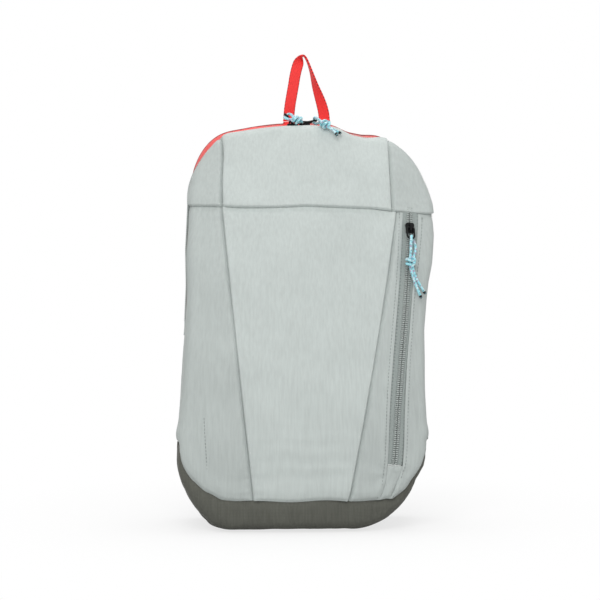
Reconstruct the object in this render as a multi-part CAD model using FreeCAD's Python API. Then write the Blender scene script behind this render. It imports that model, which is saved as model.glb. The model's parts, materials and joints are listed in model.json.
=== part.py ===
"""Small daypack with a crown zip, a zipped front pocket, a haul loop and padded shoulder straps.

The pack stands on its base: +Z is up, the front faces -Y, and the origin is at the middle of
the footprint. Sizes are in millimetres and angles in degrees. Each function makes one kind of
piece, and build() collects every piece under its own name.
"""

import FreeCAD, Part
import math
import os
from FreeCAD import Matrix, Vector

# Body
WIDTH = 250.0
FRONT_HEIGHT = 398.0
BACK_RISE = 6.0  # the back is this much taller than the front
BACK_HEIGHT = FRONT_HEIGHT + BACK_RISE
BACK_WIDTH = 244.0
CROWN_RADIUS = 287.0
TOP_CORNER = 72.0
BASE_CORNER = 70.0
LEAN = 7.5  # the front leans back by this angle
GUSSET_DEPTH = 80.0  # at the base, behind the zip band
FABRIC = 1.2
GROUND_TRIM = 0.05  # taken off under the base, to leave one flat face
FRONT_BULGE = 46.0  # how far the middle of the front stands before the zip band
BULGE_DROP = 218.0  # from the crown down to the fullest height
BULGE_HEIGHT = FRONT_HEIGHT - BULGE_DROP
SIDES_SET_BACK = 16.56  # the front's sides stand this far behind its middle
CROWN_SET_BACK = 31.94  # and its crown this far
RIM_ROUND = 8.0
RIM_BEVEL = 4.6  # of the lining behind the rounded rim

# Seams of the front, as seen from the front
YOKE_DROP = 82.0  # from the crown down to the yoke's seam
YOKE_SEAM = FRONT_HEIGHT - YOKE_DROP
YOKE_SIDE_SEAM = 82.0
CENTRE_TOP = 81.0
CENTRE_FOOT = 49.0
BASE_SEAM = 27.0
BASE_SEAM_RISE = 60.0

# Zips
TAPE_THICK = 0.7
TAPE_SINK = 0.2  # the tape's face lies this far under the fabric's face
COIL_GAP = 1.4
COIL_WIDE = 2.0
COIL_HIGH = 2.0
ZIP_BAND = 12.4
MAIN_ZIP_DROP = 198.0
MAIN_ZIP_FOOT = FRONT_HEIGHT - MAIN_ZIP_DROP
POCKET_BAND = 13.4
POCKET_TOP = (104.0, YOKE_SEAM - 7)
POCKET_FOOT = (87.0, 60.0)
TAB_THICK = 1.0

# Sliders and their pulls
SLIDER_LONG = 11.0
SLIDER_NOSE = 9.0
SLIDER_TAIL = 7.2
PLATE = 1.0
SLIDE_CLEARANCE = 0.35
POST_WIDE = 0.7
BAIL_LONG = 8.0
BAIL_WIDE = 1.8
BAIL_BAR = 1.0
RING_WIRE = 1.6
RING_WIDE = 7.4  # between the wire's centres
RING_LONG = 12.4
RING_BEVEL = 0.4
RING_CLEARANCE = 0.25
RING_LIFT = 12.0  # a ring rests on its cord at this angle
LEFT_RING_LIFT = 52.0
LEFT_SLIDER_TURN = 1.9
RIGHT_SLIDER_TURN = -0.5
POCKET_SLIDER_DROP = 15.0
CORD = 2.8
KNOT_LONG = 14.0
KNOT_WIDE = 10.4

# Haul loop
WEBBING = 12.0
WEBBING_THICK = 1.6
LOOP_RISE = 60.5
LOOP_LEFT = -16.0
LOOP_RIGHT = 20.5
LOOP_PEAK = -0.7
LOOP_SET_BACK = 3.5  # before the back seam
LOOP_END_RISE = 1.2  # the sewn ends stand this far above the back seam

# Back panel and harness
BACK_FOAM = 8.0
FOAM_CLEARANCE = 0.1  # inside the gusset
BACK_COVER = 1.2
BINDING = 2.0
STRAP_WIDE = 58.0
STRAP_FOOT_WIDE = 46.0
STRAP_THICK = 11.0
HARNESS_WEBBING = 19.0
HARNESS_THICK = 1.4
BUCKLE_WIDE = 27.0
BUCKLE_RAIL = 3.4
BUCKLE_BAR = 3.2
BUCKLE_PITCH = 9.0
BUCKLE_DROP = 11.0  # from the end of the pad to the buckle's first bar
FIT = 0.3


def arc_radius(half_span, rise):
    return (half_span**2 + rise**2) / (2 * rise)


BULGE_ROUND_ACROSS = arc_radius(WIDTH / 2, SIDES_SET_BACK)
BULGE_ROUND_UP = arc_radius(FRONT_HEIGHT - BULGE_HEIGHT, CROWN_SET_BACK)


def box(low, high):
    """A box between two corners."""
    size = [b - a for a, b in zip(low, high)]
    return Part.makeBox(size[0], size[1], size[2], Vector(*low))


def prism(points, near, far):
    """A closed XZ outline of straight sides, run along Y."""
    corners = [Vector(x, near, z) for x, z in points]
    wire = Part.makePolygon(corners + corners[:1])
    return Part.Face(wire).extrude(Vector(0, far - near, 0))


def arc(a, b, c):
    return Part.Arc(a, b, c).toShape()


def line(a, b):
    return Part.LineSegment(a, b).toShape()


# The pack's outline ----------------------------------------------------------------------


class Form:
    """The outline seen from the front: a flat base, upright sides and an arched crown."""

    def __init__(self, width, height, crown, top, base):
        self.half = width / 2
        self.height = height
        self.crown = crown
        self.top = top
        self.base = base
        self.crown_z = height - crown
        self.top_x = self.half - top
        self.top_z = self.crown_z + math.sqrt((crown - top) ** 2 - self.top_x**2)
        self.crown_turn = math.asin(self.top_x / (crown - top))
        self.base_x = self.half - base

    def wire(self, inset=0.0, y=0.0):
        """The outline moved in by inset. Every arc keeps its centre."""
        crown, top, base = self.crown - inset, self.top - inset, self.base - inset

        def at(cx, cz, radius, turn):
            return Vector(cx + radius * math.sin(turn), y, cz + radius * math.cos(turn))

        quarter = math.pi / 2
        side = {}
        for sign in (1, -1):
            side[sign] = [
                at(sign * self.base_x, self.base, base, math.pi),
                at(sign * self.base_x, self.base, base, sign * 1.5 * quarter),
                at(sign * self.base_x, self.base, base, sign * quarter),
                at(sign * self.top_x, self.top_z, top, sign * quarter),
                at(sign * self.top_x, self.top_z, top, sign * (quarter + self.crown_turn) / 2),
                at(0, self.crown_z, crown, sign * self.crown_turn),
            ]
        right, left = side[1], side[-1]
        return Part.Wire(
            [
                line(left[0], right[0]),
                arc(right[0], right[1], right[2]),
                line(right[2], right[3]),
                arc(right[3], right[4], right[5]),
                arc(right[5], at(0, self.crown_z, crown, 0), left[5]),
                arc(left[5], left[4], left[3]),
                line(left[3], left[2]),
                arc(left[2], left[1], left[0]),
            ]
        )

    def solid(self, near, far, inset=0.0):
        return Part.Face(self.wire(inset, near)).extrude(Vector(0, far - near, 0))

    def ring(self, near, far, outer, inner):
        return self.solid(near, far, outer).cut(self.solid(near, far, inner))


COS_LEAN = math.cos(math.radians(LEAN))
SIN_LEAN = math.sin(math.radians(LEAN))
FRONT = Form(WIDTH, FRONT_HEIGHT / COS_LEAN, CROWN_RADIUS, TOP_CORNER, BASE_CORNER)
BACK = Form(BACK_WIDTH, BACK_HEIGHT, CROWN_RADIUS, TOP_CORNER, BASE_CORNER)
BACK_Y = GUSSET_DEPTH
CHAIN_Y = ZIP_BAND / 2

# The front is drawn upright, its zip band from y = 0 to y = ZIP_BAND, and is then leaned back
# until the band's rear edge meets the ground at y = 0.
LEANED = Matrix()
LEANED.rotateX(-math.radians(LEAN))
LEANED.move(Vector(0, -ZIP_BAND * COS_LEAN, ZIP_BAND * SIN_LEAN))


def leaned(shape):
    return shape.transformed(LEANED)


def leaned_direction(direction):
    return LEANED.multVec(direction) - LEANED.multVec(Vector())


# Fabric body -----------------------------------------------------------------------------


def bulge_y(x, z):
    """The front's face, drawn upright, at x and z."""
    up = BULGE_ROUND_UP - math.sqrt(BULGE_ROUND_UP**2 - (z - BULGE_HEIGHT) ** 2)
    radius = BULGE_ROUND_ACROSS - up
    return BULGE_ROUND_ACROSS - FRONT_BULGE - math.sqrt(radius**2 - x**2)


def barrel(inset):
    """A solid of revolution whose near side is the stuffed front's face."""
    axis_y = BULGE_ROUND_ACROSS - FRONT_BULGE
    low, high = -20.0, FRONT.height + 20
    radius = BULGE_ROUND_UP - inset

    def near(z):
        return BULGE_ROUND_UP - FRONT_BULGE - math.sqrt(radius**2 - (z - BULGE_HEIGHT) ** 2)

    a, b, c = [Vector(0, near(z), z) for z in (low, BULGE_HEIGHT, high)]
    foot, head = Vector(0, axis_y, low), Vector(0, axis_y, high)
    profile = Part.Wire([line(foot, a), arc(a, b, c), line(c, head), line(head, foot)])
    profile.rotate(foot, Vector(0, 0, 1), -90)
    return Part.Face(profile).revolve(foot, Vector(0, 0, 1), 180)


def front_form(inset=0.0):
    """The stuffed front as a solid, with a rounded rim. The inset one is bevelled inside it."""
    plain = FRONT.solid(-FRONT_BULGE, 0, inset).common(barrel(inset))
    rim = [e for e in plain.Edges if max(v.Point.y for v in e.Vertexes) < -1]
    if inset:
        return plain.makeChamfer(RIM_BEVEL, rim)
    return plain.makeFillet(RIM_ROUND, rim)


def gusset_form(inset=0.0):
    """The side of the pack, from the zip band to the back panel, as a solid."""
    near = leaned(FRONT.wire(inset, ZIP_BAND))
    return Part.makeLoft([near, BACK.wire(inset, BACK_Y)], True, True)


def base_region():
    """Everything below the seam of the base, which rises in an arc at each side."""
    run = WIDTH / 2 - BASE_SEAM_RISE
    top = BASE_SEAM + BASE_SEAM_RISE
    bend = BASE_SEAM_RISE * math.sqrt(0.5)
    wide, deep = WIDTH, 300
    points = {}
    for sign in (1, -1):
        points[sign] = [
            Vector(sign * run, -deep, BASE_SEAM),
            Vector(sign * (run + bend), -deep, top - bend),
            Vector(sign * WIDTH / 2, -deep, top),
            Vector(sign * wide, -deep, top),
            Vector(sign * wide, -deep, -10),
        ]
    right, left = points[1], points[-1]
    outline = Part.Wire(
        [
            line(left[0], right[0]),
            arc(right[0], right[1], right[2]),
            line(right[2], right[3]),
            line(right[3], right[4]),
            line(right[4], left[4]),
            line(left[4], left[3]),
            line(left[3], left[2]),
            arc(left[2], left[1], left[0]),
        ]
    )
    return Part.Face(outline).extrude(Vector(0, 2 * deep, 0))


def region(points):
    return prism(points, -300, 300)


def fabric_body(pocket):
    """The panels of the front, the gusset, the sides and the base, cut along their seams."""
    ground = box((-WIDTH, -WIDTH, -10), (WIDTH, WIDTH, GROUND_TRIM))
    front = leaned(front_form().cut(front_form(FABRIC)))
    band = leaned(FRONT.ring(0, ZIP_BAND, 0, FABRIC))
    gusset = gusset_form().cut(gusset_form(FABRIC))
    base = base_region()
    far, high = WIDTH, FRONT_HEIGHT + 50

    yoke = front.common(region([(-far, YOKE_SEAM), (far, YOKE_SEAM), (far, high), (-far, high)]))
    lower = front.cut(base).cut(
        region([(-far, YOKE_SEAM), (far, YOKE_SEAM), (far, high), (-far, high)])
    )
    side = YOKE_SIDE_SEAM
    above = YOKE_SEAM - 5
    slope = (CENTRE_TOP - CENTRE_FOOT) / (YOKE_SEAM - BASE_SEAM)
    foot = CENTRE_FOOT - BASE_SEAM * slope
    head = CENTRE_TOP
    centre = [(-foot, 0), (foot, 0), (head, YOKE_SEAM), (-head, YOKE_SEAM)]
    inner = [(foot, 0)] + pocket.seam_line() + [(head, YOKE_SEAM)]
    right = lower.common(region([(foot, 0), (far, 0), (far, YOKE_SEAM), (head, YOKE_SEAM)]))
    right = right.cut(pocket.slot())
    inner_region = region(inner)

    upper_band = region([(-far, MAIN_ZIP_FOOT), (far, MAIN_ZIP_FOOT), (far, high), (-far, high)])
    low_sides = band.fuse(gusset).cut(upper_band)
    level = BASE_SEAM + BASE_SEAM_RISE
    foot_band = region([(-far, -10), (far, -10), (far, level), (-far, level)])
    side_fabric = low_sides.cut(foot_band)
    half = region([(0, 0), (far, 0), (far, high), (0, high)])
    return {
        "yoke_centre": yoke.common(region([(-side, above), (side, above), (side, high), (-side, high)])),
        "yoke_left": yoke.common(region([(-far, above), (-side, above), (-side, high), (-far, high)])),
        "yoke_right": yoke.common(region([(side, above), (far, above), (far, high), (side, high)])),
        "front_centre_panel": lower.common(region(centre)),
        "front_left_panel": lower.common(
            region([(-far, 0), (-foot, 0), (-head, YOKE_SEAM), (-far, YOKE_SEAM)])
        ),
        "pocket_inner_panel": right.common(inner_region),
        "pocket_outer_panel": right.cut(inner_region),
        "zip_gusset": gusset.common(upper_band),
        "side_panel_left": side_fabric.cut(half),
        "side_panel_right": side_fabric.common(half),
        "base_panel": front.common(base).fuse(low_sides.common(foot_band)).cut(ground).removeSplitter(),
    }


def pocket_lining():
    """The pocket's inner wall, sewn in behind the front."""
    sheet = leaned(FRONT.solid(-5, -4, FABRIC))
    far = WIDTH
    keep = region([(-far, 4), (far, 4), (far, YOKE_SEAM), (-far, YOKE_SEAM)])
    return sheet.common(keep)


# Zips ------------------------------------------------------------------------------------


class Track:
    """The arc that a zip's chain follows on the fabric's face, in the pack."""

    def __init__(self, centre, axis, zero):
        self.centre = centre
        self.axis = axis
        self.radius = zero.Length
        self.zero = zero / zero.Length

    def out(self, turn):
        spun = FreeCAD.Rotation(self.axis, turn)
        return spun.multVec(self.zero)

    def frame(self, turn, nose):
        """The slider's own frame: X across the zip, Y to its nose, Z out of the fabric."""
        out = self.out(turn)
        ahead = self.axis.cross(out) * nose
        across = ahead.cross(out)
        place = self.centre + out * self.radius
        return Matrix(
            across.x, ahead.x, out.x, place.x,
            across.y, ahead.y, out.y, place.y,
            across.z, ahead.z, out.z, place.z,
            0, 0, 0, 1,
        )

    def strip(self, near, far, low, high, start, end):
        """A strip of the zip, near to far across it and low to high out of the fabric."""
        out = self.out(start)
        corners = []
        for across, up in ((near, low), (far, low), (far, high), (near, high)):
            corners.append(self.centre + self.axis * across + out * (self.radius + up))
        face = Part.Face(Part.makePolygon(corners + corners[:1]))
        return face.revolve(self.centre, self.axis, end - start)


def crown_track():
    centre = LEANED.multVec(Vector(0, CHAIN_Y, FRONT.crown_z))
    return Track(
        centre,
        leaned_direction(Vector(0, -1, 0)),
        leaned_direction(Vector(0, 0, FRONT.crown)),
    )


class PocketZip:
    """The front pocket's zip, which follows the front's face from the yoke down."""

    def __init__(self):
        ends = [Vector(x, bulge_y(x, z), z) for x, z in (POCKET_TOP, POCKET_FOOT)]
        middle = (ends[0] + ends[1]) * 0.5
        lean = math.asin(middle.x / BULGE_ROUND_ACROSS)
        out = Vector(math.sin(lean), -math.cos(lean), 0)
        high = Vector(middle)
        for _ in range(4):
            high = high + out * ((high.y - bulge_y(high.x, high.z)) / math.cos(lean))
        top, high, foot = [LEANED.multVec(p) for p in (ends[0], high, ends[1])]
        circle = arc(top, high, foot).Curve
        zero = top - circle.Center
        axis = zero.cross(foot - circle.Center)
        axis = axis / axis.Length
        self.track = Track(circle.Center, axis, zero)
        self.sweep = math.degrees(zero.getAngle(foot - circle.Center))
        self.rise = math.degrees(12 / self.track.radius)
        self.foot = foot
        self.top = top

    def degrees(self, length):
        return math.degrees(length / self.track.radius)

    def seam_line(self):
        """From the ground up the seam below the zip, and up the zip to the yoke."""
        return [(self.foot.x - 5, 0), (self.foot.x, self.foot.z), (self.top.x, YOKE_SEAM)]

    def slot(self):
        half = POCKET_BAND / 2
        return self.track.strip(-half, half, -6, 6, -self.rise, self.sweep)

    def below_yoke(self, shape):
        far = WIDTH
        return shape.common(region([(-far, 0), (far, 0), (far, YOKE_SEAM), (-far, YOKE_SEAM)]))

    def pieces(self):
        half, gap = POCKET_BAND / 2, COIL_GAP / 2
        tape = (-TAPE_SINK - TAPE_THICK, -TAPE_SINK)
        coil = (-TAPE_SINK, COIL_HIGH - TAPE_SINK)
        start, end = -self.rise, self.sweep
        coil_end = end - self.degrees(3)
        strip = self.track.strip
        tab = strip(-half, half, coil[0], coil[0] + TAB_THICK, coil_end, end)
        return {
            "pocket_tape_inner": self.below_yoke(strip(-half, -gap, *tape, start, end)),
            "pocket_tape_outer": self.below_yoke(strip(gap, half, *tape, start, end)),
            "pocket_coil_inner": self.below_yoke(strip(-gap - COIL_WIDE, -gap, *coil, start, coil_end)),
            "pocket_coil_outer": self.below_yoke(strip(gap, gap + COIL_WIDE, *coil, start, coil_end)),
            "pocket_zip_tab": tab,
        }


def crown_zip():
    """The main zip: two tapes with a coil on each, over the crown and down both sides."""
    gap = COIL_GAP / 2
    sink = TAPE_SINK
    far, high = WIDTH, FRONT_HEIGHT + 50

    def above(z):
        return region([(-far, z), (far, z), (far, high), (-far, high)])

    def row(near, wide, outer, inner, z):
        return leaned(FRONT.ring(near, near + wide, outer, inner)).common(above(z))

    tape_wide = CHAIN_Y - gap
    coil_near = CHAIN_Y - gap - COIL_WIDE
    coil_foot = MAIN_ZIP_FOOT + 5
    tabs = leaned(FRONT.ring(0.4, ZIP_BAND - 0.4, -TAB_THICK, 0)).common(above(MAIN_ZIP_FOOT - 9))
    tabs = tabs.cut(above(coil_foot))
    left = region([(-far, 0), (0, 0), (0, high), (-far, high)])
    return {
        "main_tape_front": row(0, tape_wide, sink, sink + TAPE_THICK, MAIN_ZIP_FOOT),
        "main_tape_rear": row(CHAIN_Y + gap, tape_wide, sink, sink + TAPE_THICK, MAIN_ZIP_FOOT),
        "main_coil_front": row(coil_near, COIL_WIDE, sink - COIL_HIGH, sink, coil_foot),
        "main_coil_rear": row(CHAIN_Y + gap, COIL_WIDE, sink - COIL_HIGH, sink, coil_foot),
        "main_zip_tab_left": tabs.common(left),
        "main_zip_tab_right": tabs.cut(left),
    }


# Sliders and pulls, each drawn in the slider's own frame ----------------------------------

COIL_TOP = COIL_HIGH - TAPE_SINK
PLATE_FOOT = COIL_TOP + SLIDE_CLEARANCE
PLATE_TOP = PLATE_FOOT + PLATE
BAR_Z = PLATE_TOP + RING_CLEARANCE + RING_WIRE / 2
BAIL_ROOM = 2 * RING_CLEARANCE + RING_WIRE


def rounded(shape, radius, direction):
    """The shape with its edges along one direction rounded."""
    edges = []
    for edge in shape.Edges:
        along = edge.Vertexes[-1].Point - edge.Vertexes[0].Point
        if along.Length > 0 and abs(along.dot(direction)) > 0.999 * along.Length:
            edges.append(edge)
    return shape.makeFillet(radius, edges)


def slider_plate(low, high):
    """A plate between two heights: wide at the nose and narrow at the tail."""
    nose, tail, half = SLIDER_NOSE / 2, SLIDER_TAIL / 2, SLIDER_LONG / 2
    waist = -0.1 * SLIDER_LONG
    corners = [(-tail, -half), (tail, -half), (tail, waist), (nose, half - 2), (nose - 1.6, half)]
    corners += [(-x, y) for x, y in reversed(corners[2:])]
    points = [Vector(x, y, low) for x, y in corners]
    wire = Part.makePolygon(points + points[:1])
    return rounded(Part.Face(wire).extrude(Vector(0, 0, high - low)), 0.8, Vector(0, 0, 1))


def slider():
    """A die-cast slider: two plates, side flanges, the post between the tapes and the bail."""
    chain = COIL_GAP / 2 + COIL_WIDE + SLIDE_CLEARANCE
    long = SLIDER_LONG
    flange = slider_plate(-TAPE_SINK + SLIDE_CLEARANCE, PLATE_FOOT)
    flange = flange.cut(box((-chain, -long, -5), (chain, long, 5)))
    under = -TAPE_SINK - TAPE_THICK - SLIDE_CLEARANCE
    half = POST_WIDE / 2
    post_nose, post_tail = long / 2 - 0.8, long / 2 - 4.4
    post_points = [
        Vector(0, post_nose, under),
        Vector(half, (post_nose + post_tail) / 2, under),
        Vector(0, post_tail, under),
        Vector(-half, (post_nose + post_tail) / 2, under),
    ]
    post = Part.Face(Part.makePolygon(post_points + post_points[:1]))
    post = post.extrude(Vector(0, 0, PLATE_FOOT - under))
    bail_top = PLATE_TOP + BAIL_ROOM + BAIL_BAR
    end, side = BAIL_LONG / 2, BAIL_WIDE / 2
    bail = rounded(box((-side, -end, PLATE_FOOT), (side, end, bail_top)), 1.5, Vector(1, 0, 0))
    window = box((-5, BAIL_BAR + 0.4 - end, PLATE_TOP), (5, end - BAIL_BAR - 0.4, PLATE_TOP + BAIL_ROOM))
    bail = bail.cut(rounded(window, 0.5, Vector(1, 0, 0)))
    whole = slider_plate(PLATE_FOOT, PLATE_TOP).fuse([slider_plate(under - PLATE, under), flange, post, bail])
    return whole.removeSplitter()


def pull_ring():
    """The moulded ring that hangs in the bail, with the bail's bar at the origin."""
    half, wire = RING_WIDE / 2, RING_WIRE / 2

    def loop(offset, z):
        x = half + offset
        top = offset
        foot_y = -(RING_LONG - half)
        corner = 1.9 + offset
        bend = corner * math.sqrt(0.5)
        a = Vector(-x + corner, top, z)
        b = Vector(x - corner, top, z)
        c = Vector(x - corner + bend, top - corner + bend, z)
        d = Vector(x, top - corner, z)
        e = Vector(x, foot_y, z)
        f = Vector(0, foot_y - x, z)
        g = Vector(-x, foot_y, z)
        h = Vector(-x, top - corner, z)
        i = Vector(-x + corner - bend, top - corner + bend, z)
        return Part.Wire([line(a, b), arc(b, c, d), line(d, e), arc(e, f, g), line(g, h), arc(h, i, a)])

    solid = Part.Face(loop(wire, -wire)).extrude(Vector(0, 0, RING_WIRE))
    solid = solid.cut(Part.Face(loop(-wire, -wire)).extrude(Vector(0, 0, RING_WIRE)))
    flat = [e for e in solid.Edges if abs(e.Vertexes[0].Point.z - e.Vertexes[-1].Point.z) < 1e-6]
    return solid.makeChamfer(RING_BEVEL, flat)


def rounded_path(points):
    """Straight runs between points, joined by the largest tangent arcs that fit them."""
    edges, radii = [], []
    here = points[0]
    for before, corner, after in zip(points, points[1:], points[2:]):
        into, away = corner - before, after - corner
        reach = 0.45 * min(into.Length, away.Length)
        into, away = into / into.Length, away / away.Length
        half_turn = into.getAngle(away) / 2
        radius = reach / math.tan(half_turn)
        bend = away - into
        bend = bend / bend.Length
        start, end = corner - into * reach, corner + away * reach
        middle = corner + bend * (radius / math.cos(half_turn) - radius)
        edges += [line(here, start), arc(start, middle, end)]
        radii.append(round(radius, 1))
        here = end
    edges.append(line(here, points[-1]))
    return Part.Wire(edges), radii


def cord_tube(points, name):
    """A round cord along its route."""
    path, radii = rounded_path(points)
    section = Part.Wire(Part.makeCircle(CORD / 2, points[0], points[1] - points[0]))
    tube = path.makePipeShell([section], True, False)
    ratio = tube.Volume / (math.pi * CORD**2 / 4 * path.Length)
    print(name, "cord", round(path.Length, 1), "volume ratio", round(ratio, 3), "radii", radii)
    return tube


def knot(centre, along):
    """An overhand knot drawn tight: its outer form."""
    radius = KNOT_WIDE / 2
    half = KNOT_LONG / 2 - radius
    along = along / along.Length
    start = centre - along * half
    middle = Part.makeCylinder(radius, 2 * half, start, along)
    ends = [Part.makeSphere(radius, start), Part.makeSphere(radius, centre + along * half)]
    return middle.fuse(ends).removeSplitter()


# Each pull's cord, from the end of one tail through the knot, round the ring and back to the
# other tail, as points in the slider's frame measured from the bail's bar.
POCKET_CORD = [
    (12.0, -70.5, -1.8), (7.4, -61.5, -0.6), (3.4, -52.6, 0.6), (0.0, -44.0, 1.8),
    (-1.6, -36.0, 3.0), (-0.8, -28.0, 4.0), (-1.2, -20.4, 5.4), (-1.0, -9.6, 6.2),
    (1.8, -9.6, -0.9), (5.6, -17.4, -0.6), (4.6, -26.0, 1.4), (1.4, -33.4, 2.6),
    (1.6, -41.6, 2.0), (4.8, -49.4, 0.6), (9.6, -57.2, -0.8), (16.6, -65.4, -3.0),
]
RIGHT_CORD = [
    (-26.4, -34.5, -14.2), (-26.8, -28.2, -11.6), (-26.2, -22.6, -8.4), (-24.1, -18.4, -4.7),
    (-17.8, -15.0, -0.8), (-9.4, -12.2, 3.2), (-0.4, -9.6, 6.4), (0.8, -9.6, -1.0),
    (-5.6, -13.6, -0.9), (-13.2, -17.0, -0.2), (-20.6, -19.8, -3.4), (-24.6, -22.8, -7.6),
    (-28.8, -27.6, -11.8), (-30.2, -30.4, -16.8),
]
LEFT_CORD = [
    (-19.0, 12.0, 2.6), (-12.6, 8.2, 1.8), (-5.6, 5.4, 1.4), (1.6, 6.2, 1.2),
    (7.6, 8.8, 1.2), (11.4, 3.4, 1.9), (7.6, -0.4, 6.6), (0.2, -3.2, 9.8),
    (0.2, -8.6, 5.2), (6.6, -7.6, 3.2), (9.6, -1.4, 1.8), (10.6, 4.6, 1.8),
    (8.6, 10.0, 3.2), (2.4, 8.0, 4.6), (-4.4, 5.2, 4.6), (-11.4, 3.4, 4.0),
    (-17.6, 0.2, 2.8),
]
POCKET_KNOT, RIGHT_KNOT, LEFT_KNOT = 4, 3, 5


def sewn_on(shape, place, offset=Vector()):
    """The shape moved by offset in its own frame and put in its place on the pack."""
    moved = shape.copy()
    moved.translate(offset)
    return moved.transformed(place)


def pull_pieces(name, place, lift, route, knot_at):
    """One slider with its ring, cord and knot. knot_at is the route's point inside the knot."""
    bar = Vector(0, 0, BAR_Z)
    points = [Vector(*p) for p in route]
    cord = cord_tube(points, name)
    along = points[knot_at + 1] - points[knot_at - 1]
    ring = pull_ring()
    ring.rotate(Vector(), Vector(-1, 0, 0), lift)
    return {
        name + "_slider": sewn_on(slider(), place),
        name + "_ring": sewn_on(ring, place, bar),
        name + "_cord": sewn_on(cord, place, bar),
        name + "_knot": sewn_on(knot(points[knot_at], along), place, bar),
    }


# Haul loop -------------------------------------------------------------------------------


def loft(sections, smooth=False):
    return Part.makeLoft(sections, True, not smooth)


def rectangle(centre, wide, thick):
    """A rectangle with its middle at centre and half sizes along two vectors."""
    corners = [centre - wide - thick, centre + wide - thick, centre + wide + thick, centre - wide + thick]
    return Part.makePolygon(corners + corners[:1])


def smoothstep(a, b, value):
    t = min(1.0, max(0.0, (value - a) / (b - a)))
    return t * t * (3 - 2 * t)


def loop_hinge():
    """The line about which the loop folds, just above its sewn ends."""
    return Vector(0, BACK_Y - LOOP_SET_BACK, BACK_HEIGHT + LOOP_END_RISE + FIT + WEBBING_THICK / 2)


def haul_loop():
    """Webbing that faces forward where it is sewn in, and turns edge-on to fold over the peak."""
    foot = loop_hinge()
    inward_left, inward_right = LOOP_PEAK - LOOP_LEFT, LOOP_PEAK - LOOP_RIGHT

    def at(x, inward, rise):
        return foot + Vector(x + inward, 0, rise * LOOP_RISE)

    points = [
        at(LOOP_LEFT, 0, 0),
        at(LOOP_LEFT, 0.33 * inward_left, 0.55),
        at(LOOP_LEFT, 0.62 * inward_left, 0.85),
        at(LOOP_PEAK, 0, 1),
        at(LOOP_RIGHT, 0.72 * inward_right, 0.85),
        at(LOOP_RIGHT, 0.42 * inward_right, 0.53),
        at(LOOP_RIGHT, 0, 0),
    ]
    upward = Vector(0, 0, LOOP_RISE)
    curve = Part.BSplineCurve()
    curve.interpolate(Points=points, InitialTangent=upward, FinalTangent=upward * -1)
    start, end = curve.FirstParameter, curve.LastParameter
    stations = 12
    sections = []
    for i in range(-stations, stations + 1):
        share = 0.5 + 0.5 * math.copysign(abs(i / stations) ** 1.6, i)
        at_station = start + share * (end - start)
        along = curve.tangent(at_station)[0]
        twist = math.pi / 2 * (smoothstep(0.28, 0.48, share) - smoothstep(0.55, 1.0, share))
        aside = Vector(0, 1, 0).cross(along)
        wide = aside * math.cos(twist) + Vector(0, 1, 0) * math.sin(twist)
        thick = along.cross(wide)
        centre = curve.value(at_station)
        sections.append(rectangle(centre, wide * (WEBBING / 2), thick * (WEBBING_THICK / 2)))
    feet = []
    for x in (LOOP_LEFT, LOOP_RIGHT):
        side = foot + Vector(x - WEBBING / 2, 0, 0)
        feet.append(Part.makeCylinder(WEBBING_THICK / 2, WEBBING, side, Vector(1, 0, 0)))
    return loft(sections).fuse(feet)


def haul_loop_ends():
    """The loop's two ends, sewn down at the top of the back seam."""
    y = BACK_Y - LOOP_SET_BACK
    half, thick = WEBBING / 2, WEBBING_THICK + 0.6
    ends = []
    for x in (LOOP_LEFT, LOOP_RIGHT):
        end = box((x - half, y - thick, BACK_HEIGHT - 12), (x + half, y + thick, BACK_HEIGHT + LOOP_END_RISE))
        ends.append(end.cut(gusset_form()))
    return Part.makeCompound(ends)


# Back panel and harness ------------------------------------------------------------------


def back_panel():
    """Foam between a lining and a cover, with binding round the seam."""
    y = BACK_Y
    ground = box((-WIDTH, y - 10, -10), (WIDTH, y + 10, GROUND_TRIM))
    inside = gusset_form(FABRIC + FOAM_CLEARANCE)

    def sheet(near, far):
        return inside.common(box((-WIDTH, near, -10), (WIDTH, far, BACK_HEIGHT + 10)))

    return {
        "back_lining": sheet(y - BACK_FOAM - FABRIC, y - BACK_FOAM),
        "back_foam": sheet(y - BACK_FOAM, y),
        "back_cover": BACK.solid(y, y + BACK_COVER, BINDING - 1),
        "back_binding": BACK.ring(y, y + BINDING, -1, BINDING - 1).cut(ground),
    }


def strap_frame(origin, down):
    """A frame on the strap: X across it, Y outward and Z up it."""
    up = down * (-1 / down.Length)
    outward = Vector(0, 1, 0) - up * up.y
    outward = outward / outward.Length
    across = outward.cross(up)
    return Matrix(
        across.x, outward.x, up.x, origin.x,
        across.y, outward.y, up.y, origin.y,
        across.z, outward.z, up.z, origin.z,
        0, 0, 0, 1,
    )


# The pad runs down a slant on the back. Its foot, and the webbing below it, point at the anchor.
PAD_FOOT_HEIGHT = 165.0
PAD_TOP = Vector(38, BACK_Y + BACK_COVER, BACK_HEIGHT - 32)
PAD_SLANT = Vector(50, 0, PAD_FOOT_HEIGHT - PAD_TOP.z)
PAD_FOOT_OUT = 28.8
PAD_FOOT_SLOPE = 0.356
PAD_END = PAD_TOP + PAD_SLANT + Vector(0, PAD_FOOT_OUT, 0)
TAB_THICKNESS = 1.6
ANCHOR_OUT = BACK_Y + BINDING + TAB_THICKNESS + HARNESS_THICK / 2
ANCHOR_RUN = (PAD_END.y - ANCHOR_OUT) / PAD_FOOT_SLOPE / PAD_SLANT.Length
ANCHOR = PAD_END + PAD_SLANT * ANCHOR_RUN + Vector(0, ANCHOR_OUT - PAD_END.y, 0)


def lock_frame():
    """The ladder lock's frame, with its first bar at the origin."""
    down = ANCHOR - PAD_END
    return strap_frame(PAD_END + down * (BUCKLE_DROP / down.Length), down)


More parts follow.
